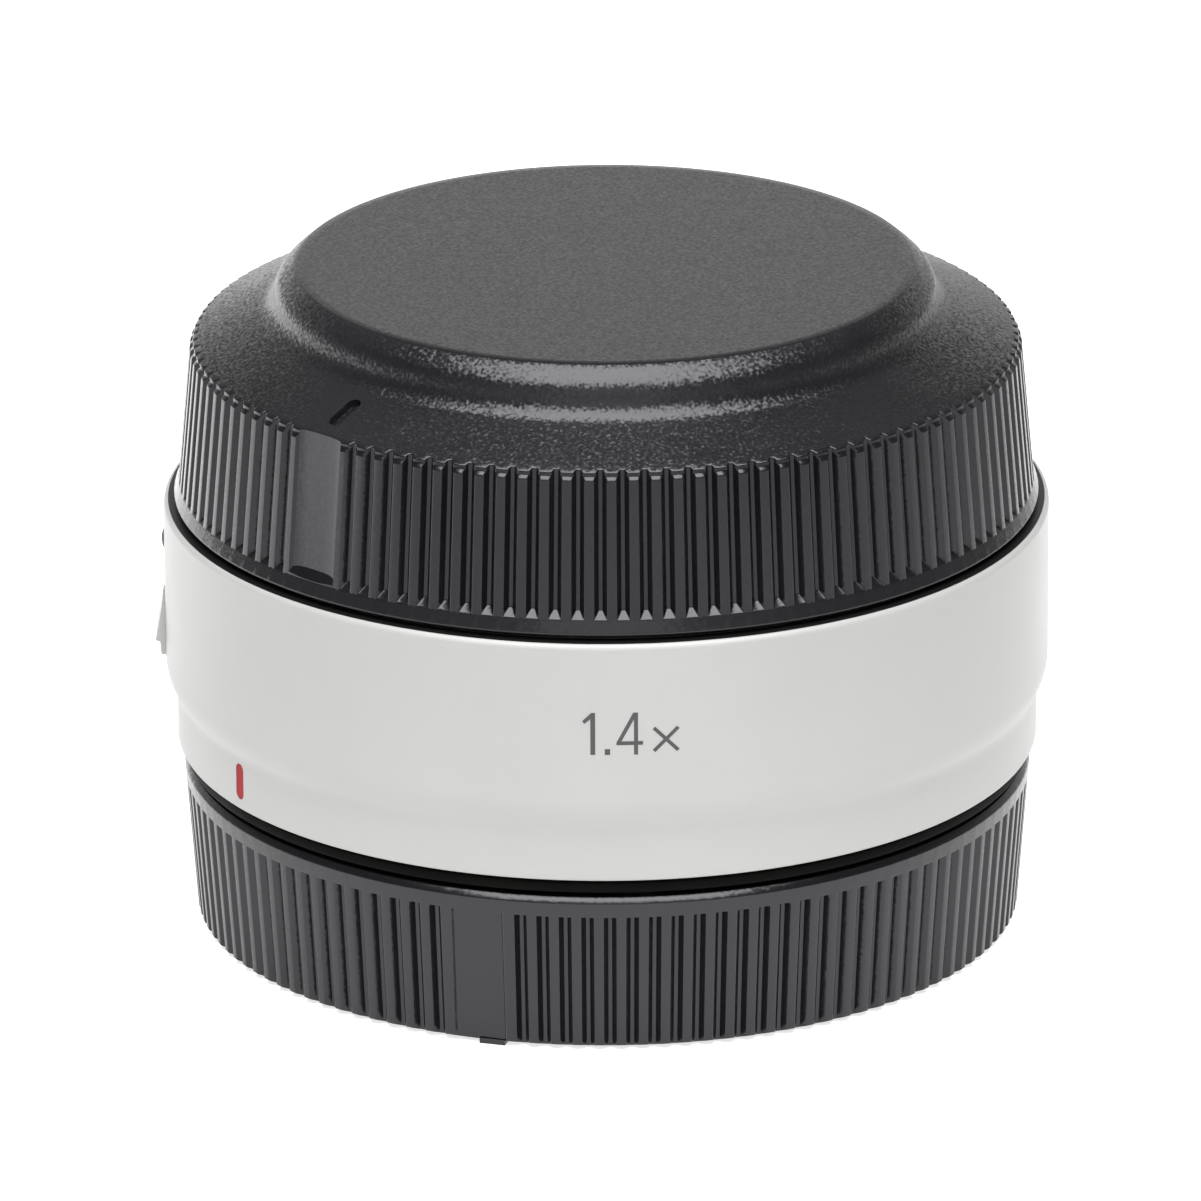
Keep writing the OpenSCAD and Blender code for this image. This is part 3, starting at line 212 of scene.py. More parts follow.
def bar(half, low, high):
    """A straight bar: half an outline of (x, y) in mm, mirrored in y, drawn up from low to high."""
    outline = half + [(x, -y) for x, y in reversed(half)]
    bpy.ops.object.select_all(action="DESELECT")
    bpy.ops.mesh.primitive_circle_add(vertices=len(outline))
    piece = bpy.context.object
    for v, (x, y) in zip(piece.data.vertices, outline):
        v.co = (x * mm, y * mm, low * mm)
    bpy.ops.object.mode_set(mode="EDIT")
    bpy.ops.mesh.select_all(action="SELECT")
    bpy.ops.mesh.edge_face_add()
    bpy.ops.mesh.select_all(action="SELECT")
    bpy.ops.mesh.extrude_edges_move(TRANSFORM_OT_translate={"value": (0, 0, (high - low) * mm)})
    bpy.ops.mesh.edge_face_add()
    close_mesh(piece)
    return piece


def sector(r0, r1, z0, z1, middle, half):
    """A lug: part of a square-sectioned ring, drawn by spinning its section."""
    bpy.ops.object.select_all(action="DESELECT")
    bpy.ops.mesh.primitive_plane_add(size=2)
    lug = bpy.context.object
    start = math.radians(middle - half)
    for v in lug.data.vertices:
        r = r1 if v.co.x > 0 else r0
        z = z1 if v.co.y > 0 else z0
        v.co = (r * mm * math.cos(start), r * mm * math.sin(start), z * mm)
    bpy.ops.object.mode_set(mode="EDIT")
    bpy.ops.mesh.select_all(action="SELECT")
    bpy.ops.mesh.spin(steps=24, angle=math.radians(2 * half), center=(0, 0, 0), axis=(0, 0, -1))
    close_mesh(lug)
    return lug


half_mouth, half_floor = 0.52, 0.17
rear_foot_r, rear_foot_z = 33.25, 0.45
rim_r, rim_z = 34.195, 12.79
rear_rows = [
    (31.9, 0, 31.9, 0, half_floor, half_floor),
    (32.1, 0, 32.1, 0, half_floor, half_floor),
    (32.66, 0.219, 32.66, 0.219, half_floor, half_floor),
    (rear_foot_r, rear_foot_z, 32.661, rear_foot_z, half_mouth, half_floor),
    (34.082, 11.4, 33.464, 11.4, half_mouth, half_floor),
    (34.097, 11.6, 34.097, 11.6, half_mouth, half_mouth),
    (rim_r, rim_z, rim_r, rim_z, half_mouth, half_mouth)]
rear_cap = ribbed_skirt("ribbed_rear_cap", rear_rows, rear_pad_az)
pick_rim(rear_cap, lambda p: p.z > 12)
draw_rings([
    (rim_r, rim_z), (33.8, 13.3), (32.1, 13.3), (31.9, 13.1), (30.95, 2.0), (30.75, 1.8), (28.8, 1.8),
    (28.8, 14.6), (28.62, 14.78), (27.48, 14.78), (27.3, 14.6), (27.3, 2.0), (27.1, 1.8), (26, 1.8)])
bpy.ops.mesh.edge_face_add()
pick_rim(rear_cap, lambda p: p.z < 0.1)
draw_rings([(31.9, 0), (30.4, 0), (30.1, 0.3), (24.2, 0.3), (23.9, 0), (20, 0)])
bpy.ops.mesh.edge_face_add()
close_mesh(rear_cap)
rib_ease, rib_ease_angle = 0.085, 25
ease(rear_cap, rib_ease, rib_ease_angle)
for lug_az in (90, 210, 330):
    combine(rear_cap, sector(25.75, 27.8, 11.7, 14.0, lug_az, 27), "UNION")
rear_lean = math.atan(0.95 / 12.5)
flat_top = 11.15
flat_cut = bar([(2, 2.4), (-0.05, 2.22), (-0.13, 2.1), (-0.3, 1.98)], -1, flat_top)
seat(flat_cut, rear_pad_az, rear_lean, (rear_foot_r, 0, rear_foot_z))
combine(rear_cap, flat_cut, "DIFFERENCE")
nib_turn = math.radians(1.6)
nib = block((31.6, -1.05, 0.001), (33.1, 1.05, 0.449))
combine(rear_cap, seat(nib, rear_pad_az + nib_turn), "UNION")
pad_edge_angle = 12
crisp(rear_cap, lambda p: at_pad(p, rear_pad_az) and 0.1 < p.z < 12, pad_edge_angle)
polish(rear_cap)


def preset(node, **values):
    """Sets inputs of a node that are the same all over; an underscore stands for a space."""
    for title, value in values.items():
        node.inputs[title.replace("_", " ")].default_value = value


def new_material(name, **constants):
    """A material with its shader, set to the values that are the same all over it."""
    finish = bpy.data.materials.new(name)
    finish.use_nodes = True
    shader = finish.node_tree.nodes["Principled BSDF"]
    preset(shader, **constants)
    return finish, finish.node_tree, shader


def new_group(name, inputs, outputs):
    """An effect that several materials share, with its own named sockets."""
    tree = bpy.data.node_groups.new(name, "ShaderNodeTree")
    for title, value in inputs.items():
        socket = tree.interface.new_socket(title, in_out="INPUT", socket_type="NodeSocketFloat")
        socket.default_value = value
    for title in outputs:
        kind = "NodeSocketVector" if title == "Normal" else "NodeSocketFloat"
        tree.interface.new_socket(title, in_out="OUTPUT", socket_type=kind)
    return tree, tree.nodes.new("NodeGroupInput"), tree.nodes.new("NodeGroupOutput")


def add(tree, kind, **settings):
    """A node with its settings."""
    made = tree.nodes.new(kind)
    for title, value in settings.items():
        setattr(made, title, value)
    return made


# Fine moulded or sprayed grain: close-set points of uneven height, at a scale per metre
grain, grain_in, grain_out = new_group("fine_grain", {"Scale": 4000.0}, ["Height"])
place = add(grain, "ShaderNodeTexCoord")
cloud = add(grain, "ShaderNodeTexNoise")
preset(cloud, Detail=1.0)
cells = add(grain, "ShaderNodeTexVoronoi")
over = add(grain, "ShaderNodeMath", operation="SUBTRACT")
grain.links.new(place.outputs["Object"], cloud.inputs["Vector"])
grain.links.new(place.outputs["Object"], cells.inputs["Vector"])
grain.links.new(grain_in.outputs["Scale"], cloud.inputs["Scale"])
grain.links.new(grain_in.outputs["Scale"], cells.inputs["Scale"])
grain.links.new(cloud.outputs["Fac"], over.inputs[0])
grain.links.new(cells.outputs["Distance"], over.inputs[1])
grain.links.new(over.outputs[0], grain_out.inputs["Height"])

# Spark-eroded mould grain: tiny facets that lean every way and sparkle in the light
spark, spark_in, spark_out = new_group("spark_grain", {"Scale": 5000.0, "Lean": 1.0}, ["Normal"])
place = add(spark, "ShaderNodeTexCoord")
facets = add(spark, "ShaderNodeTexNoise")
preset(facets, Detail=0.0)
centred = add(spark, "ShaderNodeVectorMath", operation="SUBTRACT")
centred.inputs[1].default_value = (0.5, 0.5, 0.5)
leaning = add(spark, "ShaderNodeVectorMath", operation="SCALE")
surface = add(spark, "ShaderNodeNewGeometry")
tilted = add(spark, "ShaderNodeVectorMath", operation="ADD")
unit = add(spark, "ShaderNodeVectorMath", operation="NORMALIZE")
spark.links.new(place.outputs["Object"], facets.inputs["Vector"])
spark.links.new(spark_in.outputs["Scale"], facets.inputs["Scale"])
spark.links.new(facets.outputs["Color"], centred.inputs[0])
spark.links.new(centred.outputs[0], leaning.inputs[0])
spark.links.new(spark_in.outputs["Lean"], leaning.inputs["Scale"])
spark.links.new(leaning.outputs[0], tilted.inputs[0])
spark.links.new(surface.outputs["Normal"], tilted.inputs[1])
spark.links.new(tilted.outputs[0], unit.inputs[0])
spark.links.new(unit.outputs[0], spark_out.inputs["Normal"])

# Traces of handling: soft clouds of dust and skin oil some millimetres wide
handling, handling_in, handling_out = new_group("handling", {"Scale": 90.0}, ["Mask"])
place = add(handling, "ShaderNodeTexCoord")
smear = add(handling, "ShaderNodeTexNoise")
preset(smear, Detail=5.0, Roughness=0.62)
spread = add(handling, "ShaderNodeMapRange")
preset(spread, From_Min=0.32, From_Max=0.68)
handling.links.new(place.outputs["Object"], smear.inputs["Vector"])
handling.links.new(handling_in.outputs["Scale"], smear.inputs["Scale"])
handling.links.new(smear.outputs["Fac"], spread.inputs["Value"])
handling.links.new(spread.outputs["Result"], handling_out.inputs["Mask"])


def use_group(tree, group, **values):
    """A shared effect placed in a material with its own values."""
    made = add(tree, "ShaderNodeGroup", node_tree=group)
    preset(made, **values)
    return made


def vary(tree, mask, socket, low, high):
    """Lets a mask move a number between two values."""
    reach = add(tree, "ShaderNodeMapRange")
    preset(reach, To_Min=low, To_Max=high)
    tree.links.new(mask, reach.inputs["Value"])
    tree.links.new(reach.outputs["Result"], socket)


def tint(tree, mask, socket, low, high):
    """Lets a mask move a colour between two colours."""
    blend = add(tree, "ShaderNodeMix", data_type="RGBA")
    blend.inputs[6].default_value = (*low, 1)
    blend.inputs[7].default_value = (*high, 1)
    tree.links.new(mask, blend.inputs[0])
    tree.links.new(blend.outputs[2], socket)


def bump(tree, shader, height, strength, depth):
    """Raises a surface by a height; depth is in mm."""
    relief = add(tree, "ShaderNodeBump")
    preset(relief, Strength=strength, Distance=depth * mm)
    tree.links.new(height, relief.inputs["Height"])
    tree.links.new(relief.outputs["Normal"], shader.inputs["Normal"])


# Black cap plastic: satin on the ribs, and spark-eroded grain above the front cap's shoulder edge.
# The grain is coarse on the shoulder and fine on the dome's top, and dulls the gloss where it is coarse.
cap_plastic, tree, shader = new_material("cap_plastic", Specular_Tint=(0.97, 0.955, 1, 1))
facets = use_group(tree, spark, Scale=4000.0)
marks = use_group(tree, handling, Scale=70.0)
cap_dark, cap_pale = (0.0035, 0.0033, 0.004), (0.006, 0.0058, 0.0068)
tint(tree, marks.outputs["Mask"], shader.inputs["Base Color"], cap_dark, cap_pale)
sheen = add(tree, "ShaderNodeMath", operation="MULTIPLY_ADD")
sheen.inputs[1].default_value = 0.35
vary(tree, marks.outputs["Mask"], sheen.inputs[2], 0.14, 0.19)
place = add(tree, "ShaderNodeTexCoord")
axes = add(tree, "ShaderNodeSeparateXYZ")
heights = add(tree, "ShaderNodeMapRange")
preset(heights, From_Min=0.048, From_Max=0.055)
grained = add(tree, "ShaderNodeValToRGB")
for at, much in ((0.06, 0.1), (0.085, 0.42), (0.915, 0.42), (0.922, 0.09)):
    stop = grained.color_ramp.elements.new(at)
    stop.color = (much, much, much, 1)
grained.color_ramp.elements.remove(grained.color_ramp.elements[-1])
grained.color_ramp.elements.remove(grained.color_ramp.elements[0])
tree.links.new(place.outputs["Object"], axes.inputs[0])
tree.links.new(axes.outputs["Z"], heights.inputs["Value"])
tree.links.new(heights.outputs["Result"], grained.inputs["Fac"])
tree.links.new(grained.outputs["Color"], facets.inputs["Lean"])
tree.links.new(grained.outputs["Color"], sheen.inputs[0])
tree.links.new(sheen.outputs[0], shader.inputs["Roughness"])
tree.links.new(facets.outputs["Normal"], shader.inputs["Normal"])

rear_cap.data.materials.append(cap_plastic)
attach(rear_cap, "rear_cap")
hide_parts("rear_cap")

# Rear seal: the soft rubber lip that keeps dust and rain out of the joint between the
# converter and the camera. It is moulded as one ring and pressed under the barrel's collar.


def turned(name, profile, steps):
    """A ring turned about the axis from its profile in mm, whose last point is joined to its first."""
    start_r, start_z = profile[0]
    bpy.ops.object.select_all(action="DESELECT")
    bpy.ops.mesh.primitive_circle_add(vertices=steps, radius=start_r * mm, location=(0, 0, start_z * mm))
    piece = bpy.context.object
    piece.name = piece.data.name = name
    bpy.ops.object.transform_apply()
    bpy.ops.object.mode_set(mode="EDIT")
    bpy.ops.mesh.select_all(action="SELECT")
    draw_rings(profile)
    pick_rim(piece, lambda p: True)
    bpy.ops.mesh.bridge_edge_loops()
    close_mesh(piece)
    return piece


def bow(middle, radius, start, end, count):
    """Points along an arc of a profile, the angles in degrees."""
    angles = [math.radians(start + (end - start) * i / count) for i in range(count + 1)]
    return [(middle[0] + radius * math.cos(a), middle[1] + radius * math.sin(a)) for a in angles]


seal_profile = [(33.0, 14.9), (33.9, 14.9), (33.9, 14.62), (33.98, 14.56), (34.08, 14.5)]
seal_profile += [(34.12, 14.38), (34.14, 14.1), (34.14, 13.95)] + bow((33.94, 13.9), 0.2, 0, -90, 5)
seal_profile += [(33.4, 13.7), (33.0, 14.01)]
seal = turned("rear_seal_lip", seal_profile, steps=240)
polish(seal)
seal_rubber, tree, shader = new_material("seal_rubber", Specular_IOR_Level=0.05)
fine = use_group(tree, grain, Scale=6000.0)
marks = use_group(tree, handling, Scale=120.0)
rubber_dark, rubber_pale = (0.0015, 0.0014, 0.0013), (0.004, 0.0038, 0.0034)
tint(tree, marks.outputs["Mask"], shader.inputs["Base Color"], rubber_dark, rubber_pale)
vary(tree, marks.outputs["Mask"], shader.inputs["Roughness"], 0.5, 0.68)
bump(tree, shader, fine.outputs["Height"], 0.35, 0.03)
seal.data.materials.append(seal_rubber)
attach(seal, "converter")
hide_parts("rear_seal_ring")

# Rear bayonet: the male mount that goes into the camera, turned from stainless steel with three
# milled lugs, and held on the frame by four countersunk screws.


def merged_copy(name, node):
    """A copy of a part with its loose triangles merged."""
    only(frame["nodes"][node])
    bpy.ops.object.duplicate()
    piece = bpy.context.object
    piece.name = piece.data.name = name
    piece.data.materials.clear()
    bpy.ops.object.mode_set(mode="EDIT")
    bpy.ops.mesh.select_all(action="SELECT")
    bpy.ops.mesh.remove_doubles(threshold=0.002 * mm)
    bpy.ops.mesh.dissolve_limited(angle_limit=math.radians(0.6))
    bpy.ops.object.mode_set(mode="OBJECT")
    return piece


def eased_copy(name, node, edge):
    """A copy of a machined part with its edges broken by a small bevel."""
    piece = merged_copy(name, node)
    ease(piece, edge, 40)
    polish(piece)
    return piece


# Lathe marks: fine rings round the optical axis, with a mask of slightly duller bands
lathe, lathe_in, lathe_out = new_group("lathe_marks", {"Scale": 9000.0}, ["Height", "Mask"])
place = add(lathe, "ShaderNodeTexCoord")
axes = add(lathe, "ShaderNodeSeparateXYZ")
flat = add(lathe, "ShaderNodeCombineXYZ")
away = add(lathe, "ShaderNodeVectorMath", operation="LENGTH")
reach = add(lathe, "ShaderNodeCombineXYZ")
lines = add(lathe, "ShaderNodeTexNoise")
preset(lines, Detail=3.0)
bands = add(lathe, "ShaderNodeTexNoise")
preset(bands, Scale=900.0)
lathe.links.new(place.outputs["Object"], axes.inputs[0])
lathe.links.new(axes.outputs["X"], flat.inputs["X"])
lathe.links.new(axes.outputs["Y"], flat.inputs["Y"])
lathe.links.new(flat.outputs[0], away.inputs[0])
lathe.links.new(away.outputs["Value"], reach.inputs["X"])
lathe.links.new(axes.outputs["Z"], reach.inputs["Y"])
lathe.links.new(reach.outputs[0], lines.inputs["Vector"])
lathe.links.new(reach.outputs[0], bands.inputs["Vector"])
lathe.links.new(lathe_in.outputs["Scale"], lines.inputs["Scale"])
lathe.links.new(lines.outputs["Fac"], lathe_out.inputs["Height"])
lathe.links.new(bands.outputs["Fac"], lathe_out.inputs["Mask"])


def lathed(name, low, high, roughness, metallic, relief):
    """A turned metal: colour and gloss vary a little from ring to ring."""
    finish, tree, shader = new_material(name, Metallic=metallic)
    rings = use_group(tree, lathe)
    tint(tree, rings.outputs["Mask"], shader.inputs["Base Color"], low, high)
    vary(tree, rings.outputs["Mask"], shader.inputs["Roughness"], *roughness)
    bump(tree, shader, rings.outputs["Height"], 0.5, relief)
    return finish


steel = lathed("turned_steel", (0.55, 0.55, 0.56), (0.66, 0.66, 0.665), (0.22, 0.34), 1.0, 0.004)
rear_ring = eased_copy("rear_bayonet", "rear_mount_ring", 0.06)
rear_ring.data.materials.append(steel)
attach(rear_ring, "converter")
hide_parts("rear_mount_ring")
rear_screws = eased_copy("rear_bayonet_screws", "rear_mount_screws", 0.05)
rear_screws.data.materials.append(steel)
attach(rear_screws, "converter")
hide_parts("rear_mount_screws")

# Rear baffle and contacts: a black moulded cup inside the bayonet frames the light, and a
# contact block with twelve gold-plated pads is screwed to its floor, with a ribbon to the board.
inner_plastic, tree, shader = new_material("inner_plastic")
fine = use_group(tree, grain, Scale=5200.0)
marks = use_group(tree, handling, Scale=150.0)
tint(tree, marks.outputs["Mask"], shader.inputs["Base Color"], (0.01, 0.01, 0.0105), (0.02, 0.02, 0.021))
vary(tree, marks.outputs["Mask"], shader.inputs["Roughness"], 0.55, 0.7)
bump(tree, shader, fine.outputs["Height"], 0.5, 0.04)
gold, tree, shader = new_material("gold_plate", Metallic=1.0)
marks = use_group(tree, handling, Scale=900.0)
tint(tree, marks.outputs["Mask"], shader.inputs["Base Color"], (0.76, 0.54, 0.21), (0.87, 0.68, 0.31))
vary(tree, marks.outputs["Mask"], shader.inputs["Roughness"], 0.16, 0.32)
flex_film, tree, shader = new_material("flex_film", Roughness=0.35)
marks = use_group(tree, handling, Scale=400.0)
tint(tree, marks.outputs["Mask"], shader.inputs["Base Color"], (0.36, 0.13, 0.02), (0.5, 0.22, 0.045))
for node, name, edge, finish, slot in (
    ("rear_baffle", "light_baffle", 0.08, inner_plastic, "inner_plastic"),
    ("rear_contact_block", "rear_contacts_body", 0.1, inner_plastic, "inner_plastic"),
    ("rear_contact_pads", "rear_contacts_gold", 0.08, gold, "gold"),
    ("rear_contact_screws", "rear_contacts_screws", 0.03, steel, "steel"),
):
    part = eased_copy(name, node, edge)
    part.data.materials.append(finish)
    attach(part, "converter")
    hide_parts(node)


def dress(node, finish):
    """Gives a part that keeps its machined shape its finish."""
    for holder in frame["nodes"][node].material_slots:
        holder.material = finish


dress("rear_flex", flex_film)

# Frame and electronics: the black anodised frame between the two flanges, the green board that
# passes the signals through, its chips, screws and ribbon. All of it is inside the barrel.
black_metal = lathed("anodised_metal", (0.011, 0.011, 0.0115), (0.019, 0.019, 0.02), (0.36, 0.5), 0.6, 0.006)
board_green, tree, shader = new_material("board_green", Roughness=0.35)
marks = use_group(tree, handling, Scale=700.0)
tint(tree, marks.outputs["Mask"], shader.inputs["Base Color"], (0.012, 0.08, 0.035), (0.03, 0.14, 0.07))
for node, finish in (
    ("chassis", black_metal), ("main_board", board_green), ("board_chips", inner_plastic),
    ("board_screws", steel), ("front_flex", flex_film),
):
    dress(node, finish)

# Barrel: the white outer tube, turned from aluminium, with a narrower collar at the camera's
# side. It is sprayed with a satin heat-shielding paint, and a slot lets the release lever through.
barrel_r = 35.6
barrel_top = 35.0
barrel_profile = [(33.2, 14.9), (34.45, 14.9)] + bow((34.45, 15.15), 0.25, -60, 0, 3)
barrel_profile += [(34.7, 18.3), (34.7, 18.7), (34.71, 18.95), (34.75, 19.2), (34.82, 19.45), (34.92, 19.7)]
barrel_profile += bow((31.7, 21.912), 3.9, -30, 0, 12)
barrel_profile += bow((35.1, 34.5), 0.5, 0, 90, 6)
barrel_profile += [(34.0, barrel_top), (34.0, 31.0), (33.0, 31.0), (33.0, 29.6), (34.0, 29.6)]
barrel_profile += [(34.0, 21.312), (33.2, 20.312)]
barrel = turned("white_barrel", barrel_profile, steps=360)
lever_slot = block((33.6, -2.5, 21.8), (37, 2.5, 28.1))
combine(barrel, seat(lever_slot, math.pi), "DIFFERENCE")
combine(barrel, sector(32.7, 34.1, 29.1, 31.5, 180, 12.54), "DIFFERENCE")
dot_hole_r, dot_hole_depth = 0.92, 2
dot_place = (-35.8 * mm, 0, 31.2 * mm)
bpy.ops.object.select_all(action="DESELECT")
bpy.ops.mesh.primitive_cylinder_add(
    vertices=48, radius=dot_hole_r * mm, depth=dot_hole_depth * mm, location=dot_place,
    rotation=(0, math.pi / 2, 0))
combine(barrel, bpy.context.object, "DIFFERENCE")


def oblong(length, width, depth):
    """A round-ended bar along x: a cylinder whose halves are pulled apart."""
    bpy.ops.object.select_all(action="DESELECT")
    bpy.ops.mesh.primitive_cylinder_add(vertices=48, radius=width / 2 * mm, depth=depth * mm)
    rod = bpy.context.object
    for v in rod.data.vertices:
        v.co.x += math.copysign((length - width) / 2 * mm, v.co.x)
    return rod


index_az = math.radians(212.55)
index_pocket = oblong(length=3.04, width=1.14, depth=1.0)
combine(barrel, seat(index_pocket, index_az, math.pi / 2, (34.9, 0, 17.3)), "DIFFERENCE")
white_paint, tree, shader = new_material("white_paint")
fine = use_group(tree, grain, Scale=2600.0)
marks = use_group(tree, handling, Scale=45.0)
white_dark, white_pale = (0.376, 0.373, 0.366), (0.399, 0.396, 0.388)
tint(tree, marks.outputs["Mask"], shader.inputs["Base Color"], white_dark, white_pale)
vary(tree, marks.outputs["Mask"], shader.inputs["Roughness"], 0.32, 0.42)
bump(tree, shader, fine.outputs["Height"], 0.25, 0.008)
polish(barrel)
barrel.data.materials.append(white_paint)
# The flat face at the barrel's front end, in the narrow gap under the front cap's foot, takes the black
# anodised finish; the rest of the barrel takes the white paint.
barrel.data.materials.append(black_metal)
for face in barrel.data.polygons:
    if face.center.z > (barrel_top - 0.05) * mm and face.normal.z > 0.99:
        face.material_index = 1
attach(barrel, "converter")
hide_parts("barrel_shell")

# Marks on the barrel: the red bar that is lined up with the camera is inlaid in the collar, the dot for the
# lens is a stud pressed into a hole above the lever slot and takes the dark inner plastic, and the plain
# magnification figure is pad-printed.
red_paint, tree, shader = new_material("red_paint", Roughness=0.45, Specular_IOR_Level=0.15)
marks = use_group(tree, handling, Scale=300.0)
tint(tree, marks.outputs["Mask"], shader.inputs["Base Color"], (0.27, 0.0055, 0.011), (0.305, 0.008, 0.016))
dress("index_mark", red_paint)
dress("lens_index_dot", inner_plastic)
print_ink, tree, shader = new_material("print_ink", Roughness=0.5)
fine = use_group(tree, grain, Scale=7000.0)
tint(tree, fine.outputs["Height"], shader.inputs["Base Color"], (0.046, 0.046, 0.048), (0.064, 0.064, 0.067))
ink_low, ink_high = 0.005, 0.015
figure_step = 0.2
one = [
    (-1.32, 25.9), (-0.94, 25.9), (-0.94, 29.4), (-1.25, 29.4), (-1.96, 28.71), (-1.79, 28.48),
    (-1.32, 28.88)]
point = [(-0.2, 25.9), (0.23, 25.9), (0.23, 26.38), (-0.2, 26.38)]
four_stem = [
    (2.09, 25.9), (2.41, 25.9), (2.41, 26.71), (2.8, 26.71), (2.8, 27.02), (2.41, 27.02), (2.41, 29.4),
    (2.09, 29.4), (2.09, 28.84), (2.09, 27.02), (2.09, 26.71)]
four_slope = [
    (2.09, 29.4), (2.03, 29.4), (0.72, 26.92), (0.72, 26.71), (2.09, 26.71), (2.09, 27.02), (1.11, 27.02),
    (2.09, 28.84)]
times_middle, times_arm, times_stroke = (4.62, 27.11), 1.36, 0.145
times_sign = []
for quarter in range(4):
    a = math.radians(45 + 90 * quarter)
    along, across = (math.cos(a), math.sin(a)), (-math.sin(a), math.cos(a))
    for out, over in ((times_arm, -times_stroke), (times_arm, times_stroke), (times_stroke, times_stroke)):
        times_sign.append(tuple(m + out * l + over * c for m, l, c in zip(times_middle, along, across)))
glyphs = []
for outline in (one, point, four_stem, four_slope, times_sign):
    bpy.ops.object.select_all(action="DESELECT")
    bpy.ops.mesh.primitive_circle_add(vertices=len(outline), fill_type="NGON")
    for v, (x, z) in zip(bpy.context.object.data.vertices, outline):
        v.co = (x * mm, 0, z * mm)
    glyphs.append(bpy.context.object)
only(glyphs[0])
for glyph in glyphs:
    glyph.select_set(True)
bpy.ops.object.join()
figure = bpy.context.object
figure.name = figure.data.name = "magnification_figure"
bpy.ops.object.mode_set(mode="EDIT")
bpy.ops.mesh.select_all(action="SELECT")
bpy.ops.mesh.remove_doubles(threshold=0.001 * mm)
for i in range(-10, 30):
    bpy.ops.mesh.select_all(action="SELECT")
    bpy.ops.mesh.bisect(plane_co=((i + 0.37) * figure_step * mm, 0, 0), plane_no=(1, 0, 0))
bpy.ops.object.mode_set(mode="OBJECT")
for v in figure.data.vertices:
    az = v.co.x / (barrel_r * mm) - math.pi / 2
    r = (barrel_r - ink_low) * mm
    v.co = (r * math.cos(az), r * math.sin(az), v.co.z)
bpy.ops.object.modifier_add(type="SOLIDIFY")
figure.modifiers[-1].thickness = (ink_low + ink_high) * mm
figure.modifiers[-1].offset = 1
bpy.ops.object.modifier_apply(modifier=figure.modifiers[-1].name)
figure.data.materials.append(print_ink)
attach(figure, "converter")

# Release lever and lens lock: a white-painted thumb knob on a slide inside the barrel tips a
# small rocker, which draws the steel lock pin into the front flange against its spring.
knob = eased_copy("release_knob", "release_lever", 0.12)
knob.data.materials.append(white_paint)
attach(knob, "release_lever")
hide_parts("release_lever")
pin = eased_copy("lens_lock_pin", "lock_pin", 0.05)
pin.data.materials.append(steel)
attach(pin, "lock_pin")
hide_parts("lock_pin")
for node, finish in (
    ("lever_guide_plate", black_metal), ("guide_plate_screws", steel), ("release_rocker", steel),
    ("rocker_pivot", steel),
):
    dress(node, finish)


def sprung(name, node):
    """A coil spring that stands in the converter, copied in steel and left where it stands."""
    spring = merged_copy(name, node)
    bpy.ops.object.parent_clear(type="CLEAR_KEEP_TRANSFORM")
    bpy.ops.object.shade_smooth_by_angle(angle=smooth_angle)
    spring.data.materials.append(steel)
    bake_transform(spring)
    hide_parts(node)


sprung("lock_pin_coil", "lock_pin_spring")

# Front bayonet: the female mount that takes a lens, turned from stainless steel with three lugs
# in its throat. Four screws hold it, and leaf springs under the lugs draw the lens home.
for node, name, edge in (
    ("front_mount_ring", "front_bayonet", 0.06), ("front_mount_screws", "front_bayonet_screws", 0.05),
    ("front_mount_springs", "front_bayonet_leaves", 0.04),
):
    part = eased_copy(name, node, edge)
    part.data.materials.append(steel)
    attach(part, "converter")
    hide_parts(node)

# Front contacts: twelve gold-plated spring pins in a black moulded block on the well's floor,
# which meet the pads of a mounted lens.
block_part = eased_copy("front_contacts_body", "front_contact_block", 0.12)
block_part.data.materials.append(inner_plastic)
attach(block_part, "converter")
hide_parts("front_contact_block")
dress("front_contact_pins", gold)
dress("front_contact_screws", steel)
sprung("front_contact_coils", "front_contact_springs")

# Lens tube: black anodised aluminium, turned with fine steps inside against stray light. It is
# screwed into the frame and stands out into the mounted lens; rings hold the glass from each end.
for node, name, edge in (
    ("lens_tube", "optics_tube", 0.08), ("front_retaining_ring", "front_glass_ring", 0.06),
    ("rear_retaining_ring", "rear_glass_ring", 0.06),
):
    part = eased_copy(name, node, edge)
    part.data.materials.append(black_metal)
    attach(part, "converter")
    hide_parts(node)
for node, finish in (
    ("lens_tube_screws", steel), ("front_spacer", black_metal), ("rear_spacer", black_metal),
):
    dress(node, finish)

# Glass: seven ground and polished elements in four groups, three of which are cemented pairs. A
# coating gives their reflections a faint green.
glass, tree, shader = new_material(
    "coated_glass", Transmission_Weight=1.0, IOR=1.52, Specular_Tint=(0.55, 0.75, 0.7, 1))
marks = use_group(tree, handling, Scale=220.0)
glass_dark, glass_pale = (0.955, 0.975, 0.97), (0.98, 0.99, 0.985)
tint(tree, marks.outputs["Mask"], shader.inputs["Base Color"], glass_dark, glass_pale)
vary(tree, marks.outputs["Mask"], shader.inputs["Roughness"], 0.0, 0.03)
for i in range(1, 8):
    dress(f"lens_{i}", glass)

